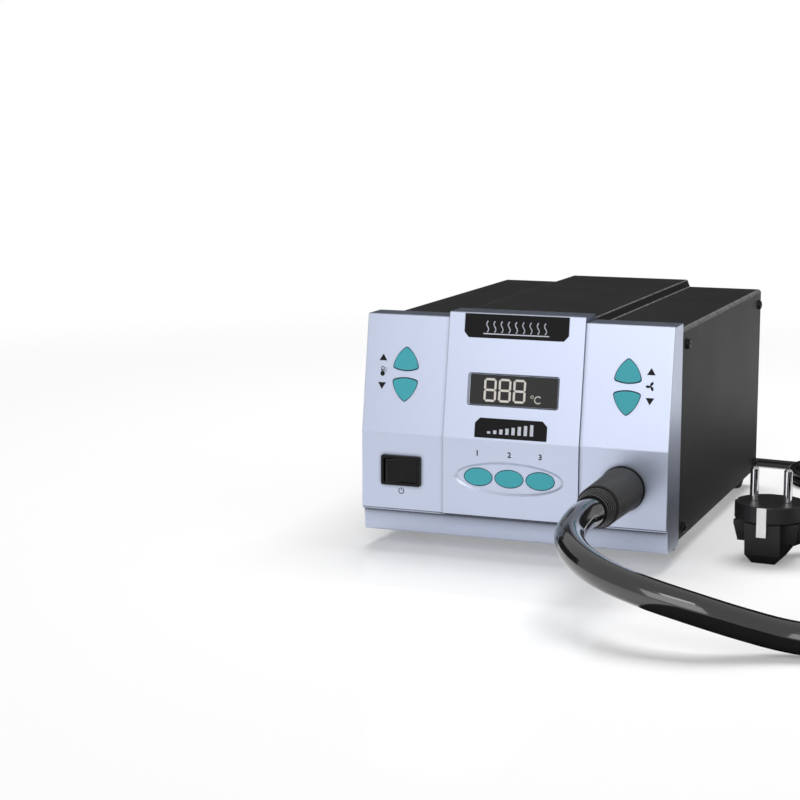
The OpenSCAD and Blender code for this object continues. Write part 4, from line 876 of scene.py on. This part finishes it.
# Hose and cord
class STATION_OT_cords(bpy.types.Operator):
    """The air hose and the mains cord with its coil"""

    bl_idname = "station.cords"
    bl_label = "Hose and cord"

    def execute(self, context):
        sizes = context.scene.station_sizes
        path = hose_path()
        hose = dress(tube("air_hose_skin", path, sizes.hose, 48), "hose_black", replaced=["air_hose"])
        path = cord_path()
        cord = dress(tube("mains_cord_sheath", path, sizes.cord, 20), "cord_black",
                     replaced=["mains_cord", "mains_cord_coil", "mains_cord_tail"])
        return {"FINISHED"}


# Casing
def casing_outline(inset):
    """Outline of the casing in X and Z, from its lower right corner over the top to its lower left one."""
    x, top, ridge = COVER_HIGH.x - inset, COVER_HIGH.z - RIDGE_RISE - inset, RIDGE_HALF - inset
    low, foot, bend = COVER_LOW.z, ridge + RIDGE_SLOPE, 2 - inset * 0.7
    half = [(x, low), (x, top), (foot, top), (ridge, top + RIDGE_RISE)]
    return rounded([(-x, low)] + half + [(-a, b) for a, b in half[:0:-1]],
                   [0, 0, bend, 0.8, 0.8, 0.8, 0.8, bend], 8)[1:]


def pan_head(width, height, arm=1.9, slot_width=0.8):
    """A pan head with a cross recess, seated at Z 0 and facing +Z, with its shank."""
    sides, r, shank = 40, width / 2, 1.5
    turns = [2 * pi * (k + 0.5) / sides for k in range(sides)]

    def ring(radius, z):
        return [(radius * cos(t), radius * sin(t), z) for t in turns]

    def cross(a, w, z):
        out = []
        for c, s in ((cos(t), sin(t)) for t in turns):
            big, small = max(abs(c), abs(s)), min(abs(c), abs(s))
            reach = min(a / big, w / 2 / small) if small * a > big * w / 2 else a / big
            out.append((reach * c, reach * s, z))
        return out

    crown = [(0, 0), (0, 0.42), (0.12, 0.6), (0.4, 0.8), (0.85, 0.95), (1.05, 1)]
    head = [ring(r - inset, height * share) for inset, share in crown]
    return loft([ring(shank, -3.5), ring(shank, 0)] + head
                + [cross(arm - 0.15, slot_width, height), cross(arm - 0.35, slot_width * 0.8, height - 0.9)])


class STATION_OT_casing(bpy.types.Operator):
    """The folded top cover, the rear panel, the tray and the screws"""

    bl_idname = "station.casing"
    bl_label = "Casing"

    def execute(self, context):
        outer, inner = casing_outline(0), casing_outline(SHEET)
        left, low = -COVER_HIGH.x, COVER_LOW.z
        sheet = outer + [(left, low), (left + SHEET, low)] + inner[::-1]
        build("cover_sheet", [(prism(sheet, COVER_LOW.y, COVER_HIGH.y), SWAP_YZ)], "casing_paint", bevel=0.3,
              angle=60, replaced=["top_cover"])
        softened("casing_paint", {"rear_panel": 0.15}, angle=60)
        softened("zinc_sheet", {"chassis_tray": 0.12}, angle=60)
        heads = [((side * COVER_HIGH.x, y, z), (side, 0, 0)) for side in (-1, 1) for y in COVER_SCREWS_Y
                 for z in COVER_SCREWS_Z]
        seated("pan_heads", pan_head(6, 2), heads, "black_screw", replaced=["cover_screws"])
        return {"FINISHED"}


# Front panel
def panel_side(rise, over, back=PANEL_BACK, grow=0.0):
    """Outline of the front panel in Y and Z at one place along X, grown outwards by grow."""
    y, low, top = FACE_Y - rise - grow, FACE_LOW - grow, FACE_TOP + over + grow
    return rounded([(back, low), (y, low), (y, CREASE_Z), (y + (top - CREASE_Z) * tan(radians(LEAN)), top),
                    (back, top)], [0, 0.35, 6, 0.7, 0.4 if over else 0.3], 8)


def chin_side(grow=0.0, back=PANEL_BACK, top=STRIP_TOP):
    y, low = FACE_Y + CHIN_DEPTH - grow, PANEL_LOW.z - grow
    return rounded([(back, low), (y + 2.0, low), (y, top), (back, top)], [0, 1.6, 0, 0], 6)


def strip_side(grow=0.0):
    """The thin ledge between the face and the chin."""
    return rect(PANEL_BACK, STRIP_LOW - grow, FACE_Y + STRIP_DEPTH - grow, STRIP_TOP)


def bar(side, half, edge, steps=6):
    """A bar along X from -half to half, whose side is a function of its growth, with rounded ends."""
    left = [[(-half + edge * (1 - sin(t)), y, z) for y, z in side(-edge * (1 - cos(t)))]
            for t in reversed(quarter(steps))]
    return loft(left + [[(-x, y, z) for x, y, z in ring] for ring in reversed(left)])


def flared(outline, depth, lip=0.1, reach=4.0):
    """A cutter that opens outwards at the surface. The outline is a function of its growth."""
    rings = (0.0, -depth), (0.0, -lip), (lip, 0.0), (lip * 1.4, reach)
    return loft([at_height(outline(grow), z) for grow, z in rings])


def panel_cuts():
    """The hollow behind the panel's face and all its openings, each with its place."""
    thin, inside = 0.01, PANEL_HIGH.x - WALL
    hollows = [bar(lambda g: panel_side(0, 0, -110, -WALL), inside, thin, 1),
               bar(lambda g: panel_side(MIDDLE_RISE, MIDDLE_OVER, -110.5, -WALL), MIDDLE_HALF - WALL, thin, 1),
               bar(lambda g: chin_side(-WALL, -109.5, 27.0), inside, thin, 1)]
    cuts = [(hollow, IDENTITY) for hollow in hollows]
    cuts += [(flared(lambda g: pick(0.25 + g), 4, 0.4), at) for _, at in PICKS]
    recess = loft([at_height(ellipse(RECESS_W + w, RECESS_H + w, 128), z)
                   for w, z in ((0.0, -0.75), (2.8, 0.0), (3.2, 0.3), (3.2, 2.0))])
    cuts.append((recess, on_lower(OVAL_X, OVAL_Z, MIDDLE_RISE)))
    cuts += [(flared(lambda g: ellipse(OVAL_W + 0.4 + 2 * g, OVAL_H + 0.4 + 2 * g), 5, 0.25),
              on_lower(x, OVAL_Z, MIDDLE_RISE - 0.74)) for _, x in OVALS]
    frame_rings = [(0.2, 1.0, -1.6), (0.2, 1.0, 0.0), (0.5, 1.05, 0.05), (2.2, 1.5, 1.05), (2.6, 1.7, 1.2),
                   (3.4, 2.0, 4)]
    return cuts + [
        (flared(lambda g: oblong(WINDOW_W - 4 + g, WINDOW_H - 3 + g, 0.8), 5), on_upper(0, WINDOW_Z)),
        (loft([at_height(oblong(WINDOW_W + w, WINDOW_H + w * 0.75, r, 4), z) for w, r, z in frame_rings]),
         on_upper(0, WINDOW_Z)),
        (flared(lambda g: oblong(SWITCH_W - 1.2 + g, SWITCH_H - 1.2 + g, 0.8), 5),
         on_lower(SWITCH_X, SWITCH_Z)),
        (flared(lambda g: ellipse(OUTLET_W + g, OUTLET_W + g), 5), on_lower(*OUTLET))]


class STATION_OT_front_panel(bpy.types.Operator):
    """The moulded front panel with its openings"""

    bl_idname = "station.front_panel"
    bl_label = "Front panel"

    def execute(self, context):
        edge, half = context.scene.station_sizes.edge / MM, PANEL_HIGH.x
        face = bar(lambda g: panel_side(0, 0, grow=g), half, edge)
        added = [bar(lambda g: panel_side(MIDDLE_RISE, MIDDLE_OVER, grow=g), MIDDLE_HALF, edge * 0.4),
                 bar(chin_side, half, edge), bar(strip_side, half, edge * 0.4)]
        bm = carved((face, IDENTITY), [(shape, IDENTITY) for shape in added], panel_cuts())
        panel = settle("panel_moulding", bm, "panel_moulding", sharp=20, replaced=["front_panel"])
        # The chin's faces, which get painted shade under the face's overhang
        under = panel.data.attributes.new("chin_shade", "FLOAT", "FACE")
        for f in panel.data.polygons:
            under.data[f.index].value = float(f.center.z < CHIN_TOP * MM)
        return {"FINISHED"}


# Buttons
def crowned(outline, top, low, soft=0.4, crown=0.12):
    """A button from the function of its outline: an upright wall, a rounded rim and a crowned top."""
    rings = [at_height(outline(0), low)]
    rings += [at_height(outline(-soft * (1 - cos(t))), top - crown - soft * (1 - sin(t))) for t in quarter(4)]
    rim = outline(-soft)
    cx, cy = sum(x for x, _ in rim) / len(rim), sum(y for _, y in rim) / len(rim)
    for share in (0.85, 0.65, 0.42, 0.2, 0.0):
        inner = [(cx + (x - cx) * share, cy + (y - cy) * share) for x, y in rim]
        rings.append(at_height(inner, top - crown * share ** 2))
    return loft(rings)


class STATION_OT_buttons(bpy.types.Operator):
    """The four three-cornered buttons and the three oval ones"""

    bl_idname = "station.buttons"
    bl_label = "Buttons"

    def execute(self, context):
        # Heights from the face: the seat under the wall, the flange below it and the stem's end
        seat, flange, stem_end = -WALL - 0.3, -WALL - 0.3 - 1.0, -5.9
        stem = lathe([(2, stem_end), (2, (seat + flange) / 2)], 32)
        picks = [(body, at, crowned(pick, 0.5, seat), pick(1.4), PICK_H * 0.4) for body, at in PICKS]
        oval = crowned(lambda g: ellipse(OVAL_W + 2 * g, OVAL_H + 2 * g), MIDDLE_RISE - 0.35, seat)
        ovals = [(body, on_lower(x, OVAL_Z), oval, oblong(OVAL_W + 0.8, OVAL_H + 2, 3), 0) for body, x in OVALS]
        for body, at, cap, rim, stem_y in picks + ovals:
            build("button_" + body, [(cap, at), (prism(rim, flange, seat), at),
                                     (stem, at @ shift(0, stem_y, 0))],
                  "button_teal", body=body, replaced=[body + "_button"])
        return {"FINISHED"}


# Display and printing
def digit_strokes(x, y, w, h, stroke):
    """The seven strokes of a display digit, each a bar with pointed ends, in X and Y."""
    gap, half = stroke * 0.12, stroke / 2

    def pointed(a, b, v, side):
        a, b = a + gap, b - gap
        return [(a, v), (a + half, v + side), (b - half, v + side), (b, v), (b - half, v - side),
                (a + half, v - side)]

    left, right, levels = x + half, x + w - half, [y + half, y + h / 2, y + h - half]
    rows = [pointed(left, right, v, -half) for v in levels]
    columns = [pointed(low, high, u, half) for u in (left, right) for low, high in zip(levels, levels[1:])]
    return rows + [[(u, v) for v, u in column] for column in columns]


def up_face(rise):
    """The length along the leaning face that rises by this much."""
    return rise / cos(radians(LEAN))


def flat_print(name, outlines, low, high, at, tone, **settling):
    build(name, [(prism(outline, low, high), at) for outline in outlines], tone, slot="", **settling)


class STATION_OT_display(bpy.types.Operator):
    """The tinted window and its lit digits"""

    bl_idname = "station.display"
    bl_label = "Display"

    def execute(self, context):
        at = on_upper(0, WINDOW_Z)
        pane = prism(oblong(WINDOW_W, WINDOW_H, 1), -1.58, 0.02)
        build("window_pane", [(pane, at)], "window_tint", bevel=0.12, replaced=["display_window"])
        low, high, letter, degree = (up_face(z - WINDOW_Z) for z in (88.1, 101.1, 90.5, 92.0))
        strokes = [s for x in (-17.3, -8.75, -0.2) for s in digit_strokes(x, low, 7.3, high - low, 1.25)]
        strokes += ribbon(arc((14.4, letter), 1.9, 48, 312, 20), 0.62)
        strokes += ribbon(arc((10.9, degree), 0.75, 0, 360, 20)[:-1], 0.34, True)
        flat_print("lit_digits", strokes, 0, 0.04, at @ shift(0, 0, 0.02), "lit_digits")
        return {"FINISHED"}


def badge_outline(points, radii):
    """A badge that is even about X 0, from its right half drawn upwards."""
    points = [(x, up_face(y)) for x, y in points]
    return rounded([(-x, y) for x, y in points[:1]] + points + [(-x, y) for x, y in points[:0:-1]], radii)


def fan_blades(at):
    """The three blades and the hub of the fan sign, each with its place."""
    blade = shift(0.6, 1.35, 0) @ turned(-35, "Z")
    return ([(ellipse(1.45, 2.5, 24), at @ turned(120 * k, "Z") @ blade) for k in range(3)]
            + [(arc((0, 0), 0.5, 0, 360, 16)[:-1], at)])


def sign_marks():
    """Outlines of the small dark signs on the panel, each with its place."""
    marks = []
    for x in SIGN_X:
        for z, way in ((107.6, 1), (95.3, -1)):
            marks.append(([(-2.35, 0), (2.35, 0), (0, way * up_face(3.8))][::way], on_upper(x, z)))
    tube_line = arc((0, 3.1), 0.85, 0, 180, 10) + [(-0.85, 0.6), (0.85, 0.6)]
    thermometer = ribbon(tube_line, 0.34, True) + [rect(-0.35, 0.2, 0.35, 2.6)]
    thermometer += [rect(1.5, y, 2.3, y + 0.35) for y in (1.0, 2.0, 3.0)]
    thermometer.append(arc((0, -0.1), 1.35, 0, 360, 24)[:-1])
    marks += [(outline, on_upper(SIGN_X[0], 100.3)) for outline in thermometer]
    marks += fan_blades(on_upper(SIGN_X[1], 101.5))
    power = ribbon(arc((0, 0), 1.55, 125, 415, 28), 0.42) + [rect(-0.21, 0.2, 0.21, 2.0)]
    return marks + [(outline, on_lower(-65, 34.2)) for outline in power]


class STATION_OT_printing(bpy.types.Operator):
    """Bare badges, triangles, numerals and plain pictograms on the panel"""

    bl_idname = "station.printing"
    bl_label = "Printing"

    def execute(self, context):
        depth = context.scene.station_sizes.print_depth / MM
        upper, lower = (on_upper(0, z, MIDDLE_RISE * cos(radians(LEAN))) for z in (123, 68.2))
        outline = badge_outline([(27.6, 0), (30.3, 3), (30.3, 13.2)], [0.7, 0.7, 0.7, 0.3, 0.3, 0.7])
        flat_print("upper_badge", [outline], -0.05, 0.12, upper, "badge_film", bevel=0.05)
        waves = []
        for k in range(9):
            line = [((k - 4) * 4.2 + 0.62 * sin(2 * pi * t / 12), up_face(3.3) + t * 0.5) for t in range(13)]
            waves += ribbon(line, 0.62)
        waves += ribbon([(-19, up_face(2.35)), (19, up_face(2.35))], 0.62)
        flat_print("hot_air_waves", waves, 0.1, 0.1 + depth, upper, "pale_print")
        outline = badge_outline([(21, 0), (21, 8.0), (18.2, 10.9)], [0.3, 0.3, 0.7, 0.7, 0.7, 0.7])
        flat_print("lower_badge", [outline], -0.05, 0.12, lower, "badge_film", bevel=0.05)
        bars = [rect(x, up_face(2.4), x + 1.9, up_face(2.4 + h))
                for x, h in ((-13.6 + 3.55 * k, 1.3 + 0.7 * k) for k in range(8))]
        flat_print("level_bars", bars, 0.1, 0.1 + depth, lower, "pale_print")
        signs = [(prism(mark, -0.01, depth), at) for mark, at in sign_marks()]
        build("printed_signs", signs, "dark_print", slot="")

        bm = bmesh.new()
        for text, x in (("1", -19.1), ("2", -0.3), ("3", 17.6)):
            curve = bpy.data.curves.new("numeral", "FONT")
            curve.body, curve.align_x = text, "CENTER"
            curve.size, curve.extrude, curve.offset = 4.3, depth, 0.11
            obj = new_object("numeral", curve)
            mesh = final_mesh(obj)
            mesh.transform(Matrix.Scale(MM, 4) @ on_lower(x, 58.1, MIDDLE_RISE))
            bm.from_mesh(mesh)
            bpy.data.objects.remove(obj)
        settle("channel_numerals", mended(bm, 1e-7, 0), "dark_print", sharp=30, slot="")
        return {"FINISHED"}


# Switch, sleeve and hand piece
class STATION_OT_switch(bpy.types.Operator):
    """The power switch's frame and rocker"""

    bl_idname = "station.power_switch"
    bl_label = "Power switch"

    def execute(self, context):
        softened("switch_black", {"switch_body": 0.15}, steps=2)
        rim, clear, height = 1.55, 0.3, 3.4
        r, half = SWITCH_W / 2 - rim - 0.35, SWITCH_H / 2 - rim - clear
        tilt = tan(radians(ROCKER_TILT))
        reach = r * cos(math.atan((height + 0.96 * r * tilt) / r))
        wing = [(x, height + rise * tilt) for x, rise in ((1.2, 1.2), (5, 5), (reach, reach))]
        start = math.degrees(math.atan2(wing[-1][1], reach))
        turns = [radians(start - k * (start + 17) / 10) for k in range(1, 11)]
        right = wing + [(r * cos(t), r * sin(t)) for t in turns] + [(4, -6)]
        outline = [(-x, y) for x, y in reversed(wing)] + [(0, height + 0.75 * tilt)] + right
        outline += [(-x, y) for x, y in reversed(right[len(wing):])]
        at = on_lower(SWITCH_X, SWITCH_Z, -ROCKER_AXIS) @ turned(ROCKER_TILT, "Y") @ turned(90, "X")
        build("rocker_moulding", [(prism(outline, -half, half), at)], "switch_black", body="rocker", bevel=0.35,
              angle=50, sharp=28, replaced=["power_rocker"])
        return {"FINISHED"}


class STATION_OT_sleeve(bpy.types.Operator):
    """The ribbed sleeve where the air hose leaves the panel"""

    bl_idname = "station.sleeve"
    bl_label = "Sleeve"

    def execute(self, context):
        pitch = context.scene.station_sizes.rib_pitch / MM
        root, end, long, nose, bore = 12.2, 11.4, 50, 12, HOSE_BORE + 0.1
        tip, low = bore + 0.25, root - 2.1
        core = [(5.4, -4), (root - 0.3, -4), (root - 0.3, -2.3), (low, -2.3), (low, 0.05), (root - 0.3, 0.05),
                (root - 0.3, 1.5), (end - 0.3, long - 0.7), (end - 0.1, long - 0.6), (end, long - 0.35),
                (end - 0.15, long), (end - 1, long + 0.1), (9, long + 0.1), (9, 24), (5.4, 24)]
        collar = [(root - 0.8, 0.03), (root + 0.45, 0.03), (root + 0.5, 0.7), (root + 0.2, 1.2),
                  (root - 0.8, 1.2)]
        cone = [(9.1, long - 1), (end - 0.5, long - 1), (end - 0.5, long + 0.2), (end - 1.2, long + 1.2),
                (tip + 0.5, long + nose - 3), (tip, long + nose - 0.2), (tip - 0.15, long + nose),
                (bore, long + nose), (HOSE_BORE, long - 10), (8.9, long - 10)]
        at = on_lower(*OUTLET)
        build("sleeve_core", [(lathe(core, 96, True), at)], "sleeve_rubber", sharp=40, replaced=["hose_sleeve"])
        build("sleeve_nose", [(lathe(cone, 96, True), at), (lathe(collar, 96, True), at)], "nose_rubber",
              slot="sleeve_rubber", sharp=40)
        # The ribs take a lighter tone of the same rubber, a painted highlight on their crests
        rib_row("sleeve_ribs", at @ shift(0, 0, 2.7), int((long - 3) / pitch), pitch, root - 0.4, end - 0.4,
                pitch * 0.45, 0.4, "sleeve_rib_highlight", slot="sleeve_rubber")
        rib_row("nose_ribs", at @ shift(0, 0, long + 1.6), 5, 2.3, end - 1.2, tip + 0.2, 0.7, 0.35, "nose_rib",
                slot="sleeve_rubber")
        return {"FINISHED"}


class STATION_OT_hand_piece(bpy.types.Operator):
    """The hot air hand piece at the hose's far end"""

    bl_idname = "station.hand_piece"
    bl_label = "Hand piece"

    def execute(self, context):
        at = lambda y: along_y(GRIP_X, y, GRIP_Z)
        boot = [(HOSE_BORE, 0), (9.0, 0), (9.4, 0.5), (11.5, 25.6), (12.0, 26.4), (12.0, 30), (11.1, 30),
                (11.1, 38), (6, 38), (6, 8), (HOSE_BORE, 8)]
        heater = [(8, 0), (12.9, 0), (12.9, 1.1), (12.5, 1.5), (11.5, 1.5), (11.5, 63.6), (11.2, 64.4),
                  (8.15, 69.8), (8, 70.4), (8, 78), (7.2, 78), (7.2, 69.4), (10.7, 63.2), (10.7, 2.4), (8, 2.4)]
        tip = [(8.05, 0), (9.2, 0), (9.4, 0.2), (9.4, 8.6), (9.2, 9.3), (6.4, 14.7), (4.6, 16.6), (4.4, 17.4),
               (4.4, 31.7), (4.1, 32), (3.6, 32), (3.4, 31.8), (3.4, 14), (7.2, 8.6), (8.05, 7.8)]
        build("boot_core", [(lathe(boot, 72, True), at(GRIP_Y - 30))], "sleeve_rubber", replaced=["hose_boot"])
        rib_row("boot_ribs", at(GRIP_Y - 28.3), 9, 2.6, 9.35, 11.55, 1.5, 0.42, "sleeve_rubber")
        softened("grip_black", {"grip_lower": 0.4, "grip_upper": 0.4})
        rib_row("grip_rings", at(GRIP_Y + 38), 9, 2.6, 12.25, 12.25, 1.5, 0.4, "grip_black")
        for name, profile, y, node in (("heater_shell", heater, 54, "heater_tube"),
                                       ("nozzle_shell", tip, 124.6, "nozzle")):
            build(name, [(lathe(profile, 96, True), at(y))], "heater_steel", replaced=[node])
        return {"FINISHED"}


# Pieces that keep the frame's shapes
class STATION_OT_rear_fittings(bpy.types.Operator):
    """The fuse, the earth socket and the cable gland"""

    bl_idname = "station.rear_fittings"
    bl_label = "Rear fittings"

    def execute(self, context):
        softened("fuse_black", {"fuse_holder": 0.15})
        softened("fuse_black", {"fuse_cap": 0.25}, body="fuse_knob")
        softened("socket_chrome", {"earth_socket": 0.15})
        softened("gland_black", {"cable_gland": 0.2})
        x, _, z = CORD_LEAD[0]
        rib_row("gland_rings", along_y(x, REAR_Y + 6.5, z), 6, 2.4, 4.6, 4.0, 1.3, 0.35, "gland_black")
        return {"FINISHED"}


class STATION_OT_plug(bpy.types.Operator):
    """The mains plug, standing on its back with its pins up"""

    bl_idname = "station.plug"
    bl_label = "Plug"

    def execute(self, context):
        softened("plug_black", {"plug_body": 0.5}, sharp=30)
        softened("socket_chrome", {"plug_pins": 0.25})
        softened("clip_steel", {"plug_earth_clips": 0.1})
        return {"FINISHED"}


class STATION_OT_feet(bpy.types.Operator):
    """The four rubber feet and their screws"""

    bl_idname = "station.feet"
    bl_label = "Feet"

    def execute(self, context):
        softened("foot_rubber", {"feet": 0.35})
        softened("zinc_screw", {"feet_screws": 0.12})
        return {"FINISHED"}


class STATION_OT_inside(bpy.types.Operator):
    """Finishes of the parts inside, which keep their frame shapes"""

    bl_idname = "station.inside"
    bl_label = "Inside"

    def execute(self, context):
        for part in frame["record"]["subparts"]:
            obj = NODES[part["node"]]
            if not obj.data.materials:
                obj.data.materials.append(None)
            for slot in obj.material_slots:
                slot.material = finish(part["material_slot"])
        return {"FINISHED"}


class STATION_PT_panel(bpy.types.Panel):
    """The station's settings and pieces, in the order in which they are built"""

    bl_idname = "STATION_PT_panel"
    bl_label = "Hot air station"
    bl_space_type = "VIEW_3D"
    bl_region_type = "UI"
    bl_category = "Station"

    def draw(self, context):
        for settings in (context.scene.station_sizes, context.scene.station_colours):
            for key in settings.__annotations__:
                self.layout.prop(settings, key)
        for maker in MAKERS:
            self.layout.operator(maker.bl_idname)


MAKERS = (STATION_OT_stage, STATION_OT_inside, STATION_OT_casing, STATION_OT_front_panel, STATION_OT_buttons,
          STATION_OT_display, STATION_OT_printing, STATION_OT_switch, STATION_OT_sleeve, STATION_OT_hand_piece,
          STATION_OT_rear_fittings, STATION_OT_plug, STATION_OT_cords, STATION_OT_feet)
CLASSES = (StationSizes, StationColours) + MAKERS + (STATION_PT_panel,)


def register():
    for cls in CLASSES:
        bpy.utils.register_class(cls)
    bpy.types.Scene.station_sizes = bpy.props.PointerProperty(type=StationSizes)
    bpy.types.Scene.station_colours = bpy.props.PointerProperty(type=StationColours)


def unregister():
    del bpy.types.Scene.station_colours
    del bpy.types.Scene.station_sizes
    for cls in reversed(CLASSES):
        bpy.utils.unregister_class(cls)


def main():
    register()
    for maker in MAKERS:
        getattr(bpy.ops.station, maker.bl_idname.split(".")[1])()


if __name__ == "__main__":
    main()
